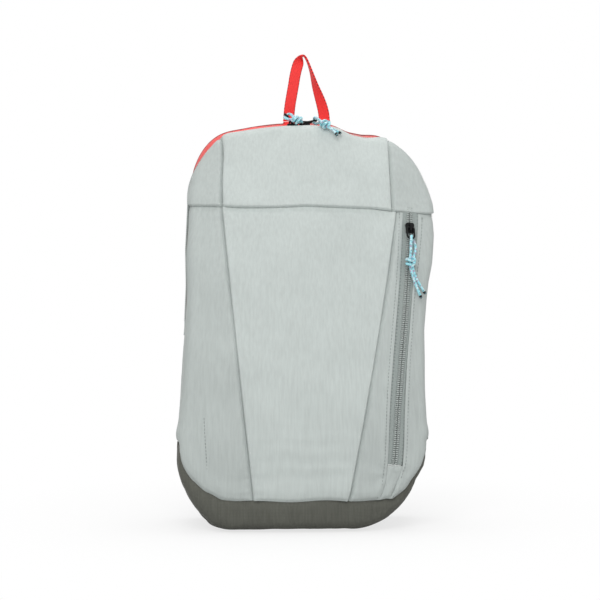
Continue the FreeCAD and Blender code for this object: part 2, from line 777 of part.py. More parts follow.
def bent_strip(points, wide, thick):
    """A flat strip bent along YZ points."""
    corners = [Vector(0, y, z) for y, z in points]
    path = rounded_path(corners)[0]
    first = corners[1] - corners[0]
    normal = Vector(1, 0, 0).cross(first / first.Length)
    section = rectangle(corners[0], Vector(wide / 2, 0, 0), normal * (thick / 2))
    return path.makePipeShell([section], True, False)


def pad_plan(long):
    """The pad as seen from behind, in the strap's frame: wide above and narrow at its foot."""
    top, foot = STRAP_WIDE / 2, STRAP_FOOT_WIDE / 2
    corner = 12.0
    straight, bend = -0.28 * long, -0.6 * long
    low, end = corner - long, -long - 3
    cut = corner * (1 - math.sqrt(0.5))
    points = {}
    for sign in (1, -1):
        points[sign] = [
            Vector(sign * top, -100, 20),
            Vector(sign * top, -100, straight),
            Vector(sign * (0.62 * top + 0.38 * foot), -100, bend),
            Vector(sign * foot, -100, low),
            Vector(sign * (foot - cut), -100, cut - long),
            Vector(sign * (foot - corner), -100, -long),
            Vector(sign * (foot - corner), -100, end),
        ]
    right, left = points[1], points[-1]
    outline = [line(left[0], right[0]), line(right[0], right[1]), arc(right[1], right[2], right[3])]
    outline += [arc(right[3], right[4], right[5]), line(right[5], right[6]), line(right[6], left[6])]
    outline += [line(left[6], left[5]), arc(left[5], left[4], left[3]), arc(left[3], left[2], left[1])]
    outline += [line(left[1], left[0])]
    return Part.Face(Part.Wire(outline)).extrude(Vector(0, 200, 0))


def strap_pad():
    """A padded shoulder strap, standing off the back as its foam makes it."""
    long = PAD_SLANT.Length
    last = 63.0
    side_view = [
        (0, 0),
        (44, 0),
        (57, -66),
        (PAD_FOOT_OUT + last * PAD_FOOT_SLOPE, last - long),
        (PAD_FOOT_OUT, -long),
    ]
    pad = bent_strip(side_view, STRAP_WIDE + 4, STRAP_THICK).common(pad_plan(long))
    return sewn_on(pad, strap_frame(PAD_TOP, PAD_SLANT))


def ladder_lock():
    """A moulded ladder lock: two rails, two round bars and the thumb bar."""
    half, inner = BUCKLE_WIDE / 2, BUCKLE_WIDE / 2 - BUCKLE_RAIL
    bar, pitch = BUCKLE_BAR / 2, BUCKLE_PITCH
    foot = -2 * pitch - 6
    profile = Part.Wire(
        [
            arc(Vector(0, -bar - 0.6, 0), Vector(0, 0, bar + 0.6), Vector(0, bar + 0.6, 0)),
            line(Vector(0, bar + 0.6, 0), Vector(0, bar + 0.6, -1.6 * pitch)),
            line(Vector(0, bar + 0.6, -1.6 * pitch), Vector(0, 4.6, foot + 1)),
            arc(Vector(0, 4.6, foot + 1), Vector(0, 4.1, foot - 0.6), Vector(0, 2.4, foot)),
            line(Vector(0, 2.4, foot), Vector(0, -bar - 0.6, -1.5 * pitch)),
            line(Vector(0, -bar - 0.6, -1.5 * pitch), Vector(0, -bar - 0.6, 0)),
        ]
    )
    rail = Part.Face(profile).extrude(Vector(BUCKLE_RAIL, 0, 0))
    rails = []
    for x in (-half, inner):
        side = rail.copy()
        side.translate(Vector(x, 0, 0))
        rails.append(side)
    bars = [
        Part.makeCylinder(bar, BUCKLE_WIDE - 1, Vector(0.5 - half, 0, z), Vector(1, 0, 0))
        for z in (0, -pitch)
    ]
    thumb = rounded(box((0.5 - half, 0.5, foot + 1.2), (half - 0.5, 2.9, foot + 6.4)), 0.9, Vector(1, 0, 0))
    lip = box((1 - half, 0.5, foot + 1.2), (half - 1, 4.4, foot + 2.8))
    lip = rounded(lip, 0.7, Vector(1, 0, 0))
    return rails[0].fuse([rails[1]] + bars + [thumb, lip]).removeSplitter()


def harness():
    """The right shoulder strap, from the back panel to its anchor by the base."""
    place = lock_frame()
    wrap = BUCKLE_BAR / 2 + FIT + HARNESS_THICK / 2
    pitch = BUCKLE_PITCH
    split = -2 * pitch - 12
    upper = bent_strip(
        [(-wrap, BUCKLE_DROP), (-wrap, -wrap), (wrap, -wrap), (wrap, BUCKLE_DROP)],
        HARNESS_WEBBING,
        HARNESS_THICK,
    )
    behind = -wrap + HARNESS_THICK + FIT
    tail = bent_strip(
        [
            (-wrap, split),
            (-wrap, wrap - pitch),
            (wrap, wrap - pitch),
            (wrap, -pitch - 2.0),
            (behind, -pitch - 7.2),
            (behind, split + 4),
            (behind + 11, split - 38),
        ],
        HARNESS_WEBBING,
        HARNESS_THICK,
    )
    start = place.multVec(Vector(0, -wrap, split - FIT))
    across = place.multVec(Vector(1, 0, 0)) - place.multVec(Vector())
    outward = place.multVec(Vector(0, 1, 0)) - place.multVec(Vector())
    flat = Vector(ANCHOR.x - start.x, 0, ANCHOR.z - start.z)
    flat = flat / flat.Length
    beside = Vector(0, 1, 0).cross(flat) * -1
    wide = HARNESS_WEBBING / 2
    thick = HARNESS_THICK / 2
    run = loft(
        [
            rectangle(start, across * wide, outward * thick),
            rectangle(ANCHOR, beside * wide, Vector(0, thick, 0)),
            rectangle(ANCHOR + flat * 26, beside * wide, Vector(0, thick, 0)),
        ]
    )
    near = BACK_Y + BINDING
    half = BACK_WIDTH / 2
    tab = prism(
        [(103, 36), (115.5, 40), (half, 62), (half, 84), (112, 101), (91, 97)],
        near,
        near + TAB_THICKNESS,
    )
    return {
        "strap_pad": strap_pad(),
        "strap_webbing": sewn_on(upper, place),
        "ladder_lock": sewn_on(ladder_lock(), place),
        "strap_tail": sewn_on(tail, place),
        "strap_lower_webbing": run,
        "strap_anchor_tab": tab,
    }


# The whole pack --------------------------------------------------------------------------


def both_sides(pieces):
    found = {}
    for name, shape in pieces.items():
        found[name + "_right"] = shape
        found[name + "_left"] = shape.mirror(Vector(), Vector(1, 0, 0))
    return found


def told(name, point, direction):
    print(name, [round(v, 5) for v in point], "axis", [round(v, 6) for v in direction])


def build():
    """Every piece by name, centred on the middle of its footprint."""
    pocket = PocketZip()
    crown = crown_track()
    frames = {
        "pocket": pocket.track.frame(pocket.degrees(POCKET_SLIDER_DROP), -1),
        "main_left": crown.frame(LEFT_SLIDER_TURN, -1),
        "main_right": crown.frame(RIGHT_SLIDER_TURN, 1),
    }
    pieces = {}
    pieces.update(fabric_body(pocket))
    pieces["pocket_lining"] = pocket_lining()
    pieces.update(pocket.pieces())
    pieces.update(crown_zip())
    pieces.update(pull_pieces("pocket", frames["pocket"], RING_LIFT, POCKET_CORD, POCKET_KNOT))
    pieces.update(pull_pieces("main_left", frames["main_left"], LEFT_RING_LIFT, LEFT_CORD, LEFT_KNOT))
    pieces.update(pull_pieces("main_right", frames["main_right"], RING_LIFT, RIGHT_CORD, RIGHT_KNOT))
    pieces["haul_loop"] = haul_loop()
    pieces["haul_loop_ends"] = haul_loop_ends()
    pieces.update(back_panel())
    pieces.update(both_sides(harness()))

    solid = Part.makeCompound([s for n, s in pieces.items() if not n.endswith(("_cord", "_knot"))])
    extent = solid.optimalBoundingBox()
    shift = Vector(-extent.Center.x, -extent.Center.y, -extent.ZMin)
    for shape in pieces.values():
        shape.translate(shift)

    print("box", extent, "shift", shift)
    told("crown centre", crown.centre + shift, crown.axis)
    told("pocket centre", pocket.track.centre + shift, pocket.track.axis)
    for name, frame in frames.items():
        origin = frame.multVec(Vector())
        across = frame.multVec(Vector(-1, 0, 0)) - origin
        told(name + " bar", frame.multVec(Vector(0, 0, BAR_Z)) + shift, across)
    lock = lock_frame()
    told("lock bar", lock.multVec(Vector()) + shift, lock.multVec(Vector(1, 0, 0)) - lock.multVec(Vector()))
    told("haul loop", loop_hinge() + shift, Vector(1, 0, 0))
    told("back face", Vector(0, BACK_Y + BACK_COVER, 0) + shift, Vector(0, 1, 0))
    return pieces


def main():
    os.makedirs("parts", exist_ok=True)
    for name, shape in build().items():
        shape.exportStep(os.path.join("parts", name + ".step"))


if __name__ == "__main__":
    main()
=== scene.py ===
import json
import math

import bmesh
import bpy
import numpy as np
from bpy.props import FloatProperty, FloatVectorProperty, PointerProperty
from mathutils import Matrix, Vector


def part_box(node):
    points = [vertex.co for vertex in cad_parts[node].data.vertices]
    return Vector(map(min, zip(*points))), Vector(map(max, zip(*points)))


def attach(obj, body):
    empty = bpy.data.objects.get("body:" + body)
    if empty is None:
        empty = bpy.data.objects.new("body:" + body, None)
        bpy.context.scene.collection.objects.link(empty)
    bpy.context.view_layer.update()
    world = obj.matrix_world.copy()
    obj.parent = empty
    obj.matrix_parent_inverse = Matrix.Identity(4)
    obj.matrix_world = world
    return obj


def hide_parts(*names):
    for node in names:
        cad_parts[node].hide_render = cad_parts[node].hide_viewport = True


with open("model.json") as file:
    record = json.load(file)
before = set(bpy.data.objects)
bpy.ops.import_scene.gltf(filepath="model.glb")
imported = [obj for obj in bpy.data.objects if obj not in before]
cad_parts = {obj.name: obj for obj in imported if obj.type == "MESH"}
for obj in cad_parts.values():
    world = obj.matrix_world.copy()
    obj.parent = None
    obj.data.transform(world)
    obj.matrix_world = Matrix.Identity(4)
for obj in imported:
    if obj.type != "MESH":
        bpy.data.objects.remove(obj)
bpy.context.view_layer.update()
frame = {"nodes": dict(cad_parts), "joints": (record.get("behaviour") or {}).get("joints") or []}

# A small daypack: sewn panels over a stuffed front, a crown zip and a pocket zip with corded
# pulls, a haul loop, a padded back and two shoulder straps. Pieces are drawn in millimetres in
# the pack's own frame (the front faces -Y, +Z is up) and become metres as their meshes are made.

bl_info = {
    "name": "Daypack",
    "version": (1, 0, 0),
    "blender": (4, 5, 0),
    "location": "3D View > Sidebar > Daypack",
    "description": "A small daypack with sewn panels, coil zips, corded pulls and padded straps",
    "category": "Add Mesh",
}

MM = 0.001

# The pack's sizes, as its pattern has them
WIDTH = 250.0
HALF = WIDTH / 2
FRONT_HEIGHT = 398.0
BACK_WIDTH = 244.0
BACK_HEIGHT = 404.0
CROWN_RADIUS = 287.0
TOP_CORNER = 72.0
BASE_CORNER = 70.0
GUSSET_DEPTH = 80.0
ZIP_BAND = 12.4
LEAN = math.radians(7.5)
COS, SIN = math.cos(LEAN), math.sin(LEAN)
FRONT_BULGE = 46.0
BULGE_HEIGHT = 180.0
RIM = 8.0
WALL = 14.0  # the drawn front runs on this far past its outline, for the rim and the wall
YOKE_SEAM = 316.0
BASE_LEVEL = 87.0
BASE_RISE = 55.5
BASE_ARC = {-1: 65.0, 1: 84.0}  # how far off the middle the base's seam turns up, left and right
BASE_STEEP = 111.0
ZIP_FOOT = 200.0
POCKET_TOP = (104.0, 309.0)
POCKET_FOOT = (87.0, 60.0)
POCKET_HALF = 6.7
POCKET_BEND = 3.6
SHIFT_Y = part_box("back_cover")[0].y / MM - GUSSET_DEPTH
BACK_Y = GUSSET_DEPTH + SHIFT_Y


def arc_radius(half_span, rise):
    return (half_span**2 + rise**2) / (2 * rise)


ROUND_ACROSS = arc_radius(WIDTH / 2, 16.56)
ROUND_UP = arc_radius(FRONT_HEIGHT - BULGE_HEIGHT, 31.94)


# Lines and grids of points ---------------------------------------------------------------


def spread(count, crowd=0.7):
    """Shares from 0 to 1, crowded towards both ends."""
    even = np.linspace(0, 1, count)
    return even - crowd * np.sin(2 * np.pi * even) / (2 * np.pi)


def lengths(line):
    """How far along a line each of its points is."""
    steps = np.linalg.norm(np.diff(line, axis=0), axis=1)
    return np.concatenate([[0], np.cumsum(steps)])


def along(line, shares):
    """Points at those shares of a line's length."""
    run = lengths(line)
    if run[-1] < 1e-9:
        return np.repeat(line[:1], len(shares), axis=0)
    places = shares * run[-1]
    return np.stack([np.interp(places, run, line[:, k]) for k in range(line.shape[1])], -1)


def coons(bottom, top, left, right, across, up):
    """A grid between four edges: bottom and top run across, left and right run up."""
    u, v = spread(across), spread(up)
    b, t, l, r = along(bottom, u), along(top, u), along(left, v), along(right, v)
    u, v = u[None, :, None], v[:, None, None]
    corners = (1 - u) * (1 - v) * b[0] + u * (1 - v) * b[-1] + (1 - u) * v * t[0] + u * v * t[-1]
    return (1 - v) * b[None] + v * t[None] + (1 - u) * l[:, None] + u * r[:, None] - corners


def nearest(points, line):
    """Each point's distance from a line, and how far along the line that is."""
    flat = points.reshape(-1, 3)
    start, step = line[:-1], np.diff(line, axis=0)
    square = np.maximum((step**2).sum(1), 1e-9)
    share = np.clip(((flat[:, None] - start) * step).sum(2) / square, 0, 1)
    gap = np.linalg.norm(flat[:, None] - (start + share[..., None] * step), axis=2)
    pick = gap.argmin(1)
    rows = np.arange(len(flat))
    run = lengths(line)[pick] + share[rows, pick] * np.sqrt(square[pick])
    return gap[rows, pick].reshape(points.shape[:-1]), run.reshape(points.shape[:-1])


def waves(points, wavelength, seed, stretch=(1, 1, 1), count=14):
    """Soft, fixed unevenness with about that wavelength, mostly between -1 and 1."""
    random = np.random.default_rng(seed)
    total = np.zeros(points.shape[:-1])
    for _ in range(count):
        way = random.normal(size=3)
        way /= np.linalg.norm(way) * wavelength * random.uniform(0.7, 1.5)
        total += np.sin(2 * np.pi * (points * stretch) @ way + random.uniform(0, 2 * np.pi))
    return total / math.sqrt(count)


def same(vector, count):
    """One vector, for each of count points."""
    return np.tile(np.array(vector, float), (count, 1))


def bell(distance, centre, width):
    return np.exp(-(((distance - centre) / width) ** 2))


def smooth(start, end, value):
    t = np.clip((value - start) / (end - start), 0, 1)
    return t * t * (3 - 2 * t)


def unit(vectors):
    return vectors / np.maximum(np.linalg.norm(vectors, axis=-1, keepdims=True), 1e-12)


# The pack's form -------------------------------------------------------------------------


class Form:
    """The pack's outline from the front. Its shares run from 0 at the left end of the base, up
    the left side, over the crown and down the right side to 7. The base is 7 to 8."""

    def __init__(self, width, height):
        self.half = width / 2
        self.crown_z = height - CROWN_RADIUS
        self.top_x = self.half - TOP_CORNER
        self.top_z = self.crown_z + math.sqrt((CROWN_RADIUS - TOP_CORNER) ** 2 - self.top_x**2)
        self.turn = math.asin(self.top_x / (CROWN_RADIUS - TOP_CORNER))
        self.base_x = self.half - BASE_CORNER
        quarter = math.pi / 2
        self.arcs = {
            0: (-self.base_x, BASE_CORNER, BASE_CORNER, -math.pi, -quarter),
            2: (-self.top_x, self.top_z, TOP_CORNER, -quarter, -self.turn),
            3: (0, self.crown_z, CROWN_RADIUS, -self.turn, self.turn),
            4: (self.top_x, self.top_z, TOP_CORNER, self.turn, quarter),
            6: (self.base_x, BASE_CORNER, BASE_CORNER, quarter, math.pi),
        }
        self.lines = {
            1: ((-self.half, BASE_CORNER), (-self.half, self.top_z), (-1, 0)),
            5: ((self.half, self.top_z), (self.half, BASE_CORNER), (1, 0)),
            7: ((self.base_x, 0), (-self.base_x, 0), (0, -1)),
        }

    def at(self, share, out=0.0):
        """Points of the outline let out by that much, and the way out at each."""
        share = np.asarray(share, float)
        part = np.clip(np.floor(share), 0, 7).astype(int)
        run = share - part
        point, way = np.zeros((len(share), 2)), np.zeros((len(share), 2))
        for k, (x, z, radius, start, end) in self.arcs.items():
            m = part == k
            turn = start + (end - start) * run[m]
            way[m] = np.stack([np.sin(turn), np.cos(turn)], -1)
            point[m] = np.array([x, z]) + (radius + out) * way[m]
        for k, (start, end, side) in self.lines.items():
            m = part == k
            way[m] = side
            point[m] = start + np.subtract(end, start) * run[m][:, None] + np.multiply(side, out)
        return point, way

    def side_share(self, z, side):
        """The share at a height on a straight side: -1 is the left and 1 the right."""
        rise = (z - BASE_CORNER) / (self.top_z - BASE_CORNER)
        return 1 + rise if side < 0 else 6 - rise

    def depth(self, x, z):
        """How far points lie inside the outline, and the way out from each."""
        side = np.where(x < 0, -1.0, 1.0)
        ax = np.abs(x)
        reach = np.maximum(np.hypot(ax, z - self.crown_z), 1e-9)
        options = np.stack([self.half - ax, CROWN_RADIUS - reach, z])
        pick, depth = options.argmin(0), options.min(0)
        nx = np.choose(pick, [np.ones_like(x), ax / reach, np.zeros_like(x)])
        nz = np.choose(pick, [np.zeros_like(x), (z - self.crown_z) / reach, -np.ones_like(x)])
        top = (ax > self.top_x) & (z > self.top_z) & (np.arctan2(ax, z - self.crown_z) > self.turn)
        base = (ax > self.base_x) & (z < BASE_CORNER)
        for m, cx, cz, radius in (
            (top, self.top_x, self.top_z, TOP_CORNER),
            (base, self.base_x, BASE_CORNER, BASE_CORNER),
        ):
            reach = np.maximum(np.hypot(ax - cx, z - cz), 1e-9)
            depth = np.where(m, radius - reach, depth)
            nx = np.where(m, (ax - cx) / reach, nx)
            nz = np.where(m, (z - cz) / reach, nz)
        return depth, nx * side, nz


FRONT = Form(WIDTH, FRONT_HEIGHT / COS)
BACK = Form(BACK_WIDTH, BACK_HEIGHT)


def bulge(x, z):
    """The stuffed front, drawn upright."""
    up = ROUND_UP - np.sqrt(ROUND_UP**2 - (z - BULGE_HEIGHT) ** 2)
    radius = ROUND_ACROSS - up
    return ROUND_ACROSS - FRONT_BULGE - np.sqrt(radius**2 - x**2)


def leaned(x, y, z):
    """Leans the drawn front back and puts it in its place on the pack."""
    back = y * COS + z * SIN - ZIP_BAND * COS + SHIFT_Y
    return np.stack([x, back, z * COS - y * SIN + ZIP_BAND * SIN], -1)


def front_point(x, z):
    """Points of the front from its flat drawing, which runs on round the rim and down its wall."""
    depth, nx, nz = FRONT.depth(x, z)
    past = np.maximum(RIM - depth, 0)
    ix, iz = x - nx * past, z - nz * past
    y = bulge(ix, iz)
    ahead = bulge(ix + nx * 0.5, iz + nz * 0.5) - bulge(ix - nx * 0.5, iz - nz * 0.5)
    slope = np.arctan(ahead)
    radius = RIM / (1 - np.sin(slope))
    bend = radius * (np.pi / 2 - slope)
    wall = np.maximum(-(y + radius * np.cos(slope)), 0)
    run = past / (RIM + WALL) * (bend + wall)
    turn = slope + np.minimum(run, bend) / radius
    out = radius * (np.sin(turn) - np.sin(slope))
    y = y + radius * (np.cos(slope) - np.cos(turn)) + np.maximum(run - bend, 0)
    return leaned(ix + nx * out, y, iz + nz * out)


def front_way(x, z):
    """The way out of the front's face."""
    step = 0.4
    aside = front_point(x + step, z) - front_point(x - step, z)
    up = front_point(x, z + step) - front_point(x, z - step)
    return unit(np.cross(aside, up))


def settled(line, row_x=None, row_z=None):
    """A line of the flat drawing, moved until it lies at those places on the pack."""
    x, z = line[:, 0].copy(), line[:, 1].copy()
    for _ in range(10):
        place = front_point(x, z)
        if row_x is not None:
            x += row_x - place[:, 0]
        if row_z is not None:
            z += (row_z - place[:, 2]) / COS
    return np.stack([x, z], -1)


def straight(a, b, count=60):
    return np.asarray(a, float) + np.linspace(0, 1, count)[:, None] * np.subtract(b, a)


def rim_line(start, end, count=90):
    """The drawn front's own edge, which meets the zip, from one share to another."""
    return FRONT.at(np.linspace(start, end, count), WALL)[0]


# Where the yoke's seam runs a little up and down across the front
SEAM_X = (-140, -88, -70, -30, 0, 30, 50, 69, 88, 111, 140)
SEAM_Z = (319.2, 318.8, 317.6, 317.9, 319.4, 318.1, 317.3, 316.5, 313.6, 311.0, 310.4)


def yoke_seam(start, end, count=80):
    x = np.linspace(start, end, count)
    return settled(np.stack([x, x * 0 + YOKE_SEAM], -1), row_z=np.interp(x, SEAM_X, SEAM_Z))


def base_seam(start, end, count=80):
    """The seam over the base: level in the middle and rising in an arc at each side."""
    x = np.linspace(start, end, count)
    ax, turn_up = np.abs(x), np.where(x > 0, BASE_ARC[1], BASE_ARC[-1])
    share = np.clip(ax - turn_up, 0, HALF - turn_up) / (HALF - turn_up)
    row_z = BASE_LEVEL - BASE_RISE * np.sqrt(1 - share**2)
    row_z = row_z + 0.8 * np.sin(x / 11.0) + 0.8 * bell(ax, 92, 12) * np.sin(x / 3.1)
    return settled(np.stack([x, row_z], -1), row_z=np.minimum(row_z, BASE_LEVEL))


def base_flank(side, count=50):
    """The steep end of the base's seam, from BASE_STEEP off the middle to the wall's edge."""
    start = BASE_ARC[side]
    turn = np.linspace(math.asin((BASE_STEEP - start) / (HALF - start)), math.pi / 2, count)
    wall = np.linspace(HALF + 1, HALF + WALL, 20)
    x = np.concatenate([start + (HALF - start) * np.sin(turn), wall])
    row_z = np.concatenate([BASE_LEVEL - BASE_RISE * np.cos(turn), np.full(20, BASE_LEVEL)])
    return settled(np.stack([side * x, row_z], -1), row_z=row_z)


def zip_bend(share):
    """How far the pocket's zip curves inwards, at a share of its way down."""
    return POCKET_BEND * smooth(0.08, 0.72, share) - 1.3 * smooth(0.76, 0.97, share)


def pocket_line(offset):
    """The pocket zip's line, from its foot up to the yoke, moved across by offset."""
    (top_x, top_z), (foot_x, foot_z) = POCKET_TOP, POCKET_FOOT
    z = np.linspace(foot_z, YOKE_SEAM, 70)
    bend = zip_bend((top_z - z) / (top_z - foot_z))
    slope = (top_x - foot_x) / (top_z - foot_z)
    return np.stack([foot_x + slope * (z - foot_z) + offset - bend, z], -1)


# How far the stuffed cloth is drawn in at each side, by height: the left is slack above its
# middle, and the right stands out by the yoke and falls in at its low corner
LEFT_Z = (0, 5, 9, 17, 25, 40, 70, 100, 135, 166, 197, 240, 275, 320, 345, 370, 392, 405)
LEFT_IN = (-21, -15, -10, -5, -3, -1.5, -2, -1, 1.5, 3.5, 6.5, 8.5, 8, 10.3, 8.6, 4.8, 1.5, 0)
RIGHT_Z = (0, 20, 50, 64, 80, 134, 197, 228, 244, 262, 290, 322, 345, 365)
RIGHT_IN = (8.5, 13.0, 12.5, 8.0, 6.0, 6.5, 7.0, 5.0, 3.0, -1.0, -4.5, -4.0, -0.5, 0)
SLACK_REACH = 40.0  # how far in from the rim the left side's slackness is felt
CROWN_DIP = 5.0


def slouch(points):
    """Points of the drawn pack, moved to where its cloth sits once it is stuffed and stands."""
    x, y, z = points[..., 0], points[..., 1], points[..., 2]
    depth, nx, nz = FRONT.depth(x, (z - ZIP_BAND * SIN) / COS)
    rim = ZIP_BAND * COS - SHIFT_Y - z * SIN
    rear = np.clip((y + rim) / (BACK_Y + rim), 0, 1)
    by_rim = 1 - smooth(0, SLACK_REACH, depth)
    left = np.interp(z, LEFT_Z, LEFT_IN) * by_rim
    reach = 42 - 18 * smooth(45, 90, z)
    right = np.interp(z, RIGHT_Z, RIGHT_IN) * (1 - smooth(0, reach, depth))
    right = right * (1 - smooth(0.1, 1, rear))
    up = smooth(20, 60, z)
    across = left * smooth(15 + 51 * up, 70 + 30 * up, -x) - right * smooth(15, 70, x)
    # The crown's left corner is drawn in at its front and let out behind
    behind = smooth(0.3, 0.9, rear)
    corner = 2.4 * bell(z, 366, 17) * smooth(72, 94, -x) * (1 - behind)
    corner = (corner - 1.6 * bell(z, 386, 16) * smooth(55, 84, -x) * behind) * by_rim
    # The crown dips beside its right slider, under the pull's weight
    dip = CROWN_DIP * smooth(30, 52, x) * (1 - smooth(60, 86, x)) * by_rim * smooth(330, 360, z)
    return np.stack([x + across - nx * corner, y, z - nz * corner - dip], -1)


# Finishes --------------------------------------------------------------------------------


def linear(code):
    """An sRGB hex colour as linear light."""
    parts = [int(code[i : i + 2], 16) / 255 for i in (1, 3, 5)]
    return [p / 12.92 if p <= 0.04045 else ((p + 0.055) / 1.055) ** 2.4 for p in parts]


def add(tree, kind, inputs=None, **settings):
    """Adds one node, with its settings and with each input's value or the socket it comes from."""
    node = tree.nodes.new(kind)
    for name, value in settings.items():
        setattr(node, name, value)
    for name, value in (inputs or {}).items():
        if isinstance(value, bpy.types.NodeSocket):
            tree.links.new(value, node.inputs[name])
        else:
            node.inputs[name].default_value = value
    return node


def finish_of(name):
    """A new material and its empty tree, or the one already made and no tree."""
    if name in bpy.data.materials:
        return bpy.data.materials[name], None
    material = bpy.data.materials.new(name)
    material.use_nodes = True
    material.node_tree.nodes.clear()
    return material, material.node_tree


def shaded(colour, share=1.0):
    """A colour as a shader takes it, darkened to that share."""
    return (*(c * share for c in colour[:3]), 1)


# A wave texture's scale, times the spacing of its bands in metres
WAVE = 0.314


def woven(name, colour, spacing, rough, slub=0.6, patchy=0.4, relief=0.3, shade=0.84):
    """Plain-woven nylon. Spacing is its threads', in millimetres, slub how much some of them
    show, patchy how uneven the coat is, and shade how dark its darkest places are."""
    material, tree = finish_of(name)
    if tree is None:
        return material
    place = add(tree, "ShaderNodeTexCoord").outputs["Object"]
    upright = add(tree, "ShaderNodeMapping", {"Vector": place, "Scale": (1, 1, 0.07)})
    slubs = add(
        tree, "ShaderNodeTexNoise",
        {"Vector": upright.outputs[0], "Scale": 520.0, "Detail": 3.0, "Roughness": 0.6},
    )
    patches = add(tree, "ShaderNodeTexNoise", {"Vector": place, "Scale": 24.0, "Detail": 3.0})
    warp, weft = (
        add(
            tree, "ShaderNodeTexWave",
            {
                "Vector": place, "Scale": WAVE / (spacing * MM),
                "Distortion": 0.6, "Detail": 1.0, "Detail Scale": 2.0,
            },
            bands_direction=direction,
        )
        for direction in "XZ"
    )
    cross = add(
        tree, "ShaderNodeMath", {0: warp.outputs["Fac"], 1: weft.outputs["Fac"]},
        operation="MULTIPLY",
    )
    slub_share = add(
        tree, "ShaderNodeMapRange",
        {"Value": slubs.outputs["Fac"], "From Min": 0.35, "From Max": 0.7, "To Max": slub},
    )
    patch_share = add(
        tree, "ShaderNodeMapRange",
        {"Value": patches.outputs["Fac"], "From Min": 0.3, "From Max": 0.7, "To Max": patchy},
    )
    total = add(
        tree, "ShaderNodeMath", {0: slub_share.outputs[0], 1: patch_share.outputs[0]},
        operation="ADD",
    )
    tint = add(
        tree, "ShaderNodeMix",
        {0: total.outputs[0], 6: shaded(colour), 7: shaded(colour, shade)},
        data_type="RGBA", clamp_factor=True,
    )
    height = add(
        tree, "ShaderNodeMath", {0: slubs.outputs["Fac"], 1: 0.6, 2: cross.outputs[0]},
        operation="MULTIPLY_ADD",
    )
    bump = add(
        tree, "ShaderNodeBump",
        {"Height": height.outputs[0], "Strength": relief, "Distance": 0.0004},
    )
    cloth = add(
        tree, "ShaderNodeBsdfPrincipled",
        {
            "Base Color": tint.outputs[2], "Normal": bump.outputs[0], "Roughness": rough,
            "Sheen Weight": 0.12, "Sheen Roughness": 0.4,
        },
    )
    add(tree, "ShaderNodeOutputMaterial", {"Surface": cloth.outputs[0]})
    return material


def grey_nylon():
    """Coated grey nylon: matt, with faint upright slubs. Its threads, 0.5 mm apart, are drawn
    1.1 mm apart so that they show."""
    return woven("coated_nylon_grey", colours().body, 1.1, 0.72)


def side_nylon_painted_shade():
    """The same cloth, painted a shade deeper on the panels beside the middle ones: painted shade
    where they turn away from the light.
    """
    return woven("coated_nylon_grey_flank", shaded(colours().body, 0.88), 1.1, 0.72)


def red_nylon():
    """Coated coral-red nylon of the gusset, a little glossier than the grey."""
    return woven("coated_nylon_red", colours().gusset, 1.1, 0.6, patchy=0.3)


def base_nylon():
    """Heavier, coarser nylon under the pack: matt warm grey, with its weave just showing."""
    return woven("heavy_nylon_base", colours().base, 1.4, 0.82, slub=0.7, relief=0.45, shade=0.72)


def lining_nylon():
    """Thin lining nylon, smooth and a little shiny."""
    return woven("lining_nylon", shaded(colours().body, 0.6), 0.9, 0.5, relief=0.12)


def plain(name, colour, rough, grain=1.5, relief=0.1, mottle=0.03, shine=0.5):
    """A moulded or cast finish: one colour, barely mottled, over a fine grain in millimetres."""
    material, tree = finish_of(name)
    if tree is None:
        return material
    place = add(tree, "ShaderNodeTexCoord").outputs["Object"]
    fine = add(
        tree, "ShaderNodeTexNoise", {"Vector": place, "Scale": 1 / (grain * MM), "Detail": 4.0}
    )
    worn = add(tree, "ShaderNodeTexNoise", {"Vector": place, "Scale": 160.0, "Detail": 3.0})
    share = add(
        tree, "ShaderNodeMapRange",
        {"Value": worn.outputs["Fac"], "From Min": 0.35, "From Max": 0.7, "To Max": mottle},
    )
    tint = add(
        tree, "ShaderNodeMix",
        {0: share.outputs[0], 6: shaded(linear(colour)), 7: (0.35, 0.35, 0.34, 1)},
        data_type="RGBA",
    )
    dullness = add(
        tree, "ShaderNodeMapRange",
        {"Value": worn.outputs["Fac"], "To Min": rough * 0.8, "To Max": min(1.0, rough * 1.2)},
    )
    bump = add(
        tree, "ShaderNodeBump",
        {"Height": fine.outputs["Fac"], "Strength": relief, "Distance": 0.0001},
    )
    moulded = add(
        tree, "ShaderNodeBsdfPrincipled",
        {
            "Base Color": tint.outputs[2], "Normal": bump.outputs[0],
            "Roughness": dullness.outputs[0], "Specular IOR Level": shine,
        },
    )
    add(tree, "ShaderNodeOutputMaterial", {"Surface": moulded.outputs[0]})
    return material


def black_enamel():
    """Black enamel over die-cast zinc: smooth and half glossy."""
    return plain("black_enamel_zinc", "#08090A", 0.42, relief=0.05, mottle=0.01, shine=0.16)


def moulded_rubber():
    """Black moulded thermoplastic rubber of the rings: satin, with a fine grain."""
    return plain("moulded_rubber_black", "#0A0B0B", 0.6, mottle=0.01, shine=0.22)


def acetal():
    """Moulded acetal of the ladder locks: black, satin and a little waxy."""
    return plain("moulded_acetal_black", "#1C1D1E", 0.42)


def nylon_coil():
    """Nylon monofilament of the zip's coils: grey, smooth, with small bright highlights."""
    return plain("nylon_coil_grey", "#C3CAC7", 0.4, grain=4.0, relief=0.02, mottle=0.1)


def thread(name="spun_polyester_thread", colour="#D4D8D5"):
    """Spun polyester sewing thread: pale, matt, and a little fuzzy."""
    return plain(name, colour, 0.8, grain=0.5, relief=0.3, mottle=0.06)


def closed_cell_foam():
    """Closed-cell foam inside the back: matt grey with a fine skin."""
    return plain("closed_cell_foam", "#7F8582", 0.9, grain=0.8, relief=0.4)


# Meshes ----------------------------------------------------------------------------------


def linked(name, data):
    """A new object holding that data, in the scene."""
    piece = bpy.data.objects.new(name, data)
    bpy.context.scene.collection.objects.link(piece)
    return piece


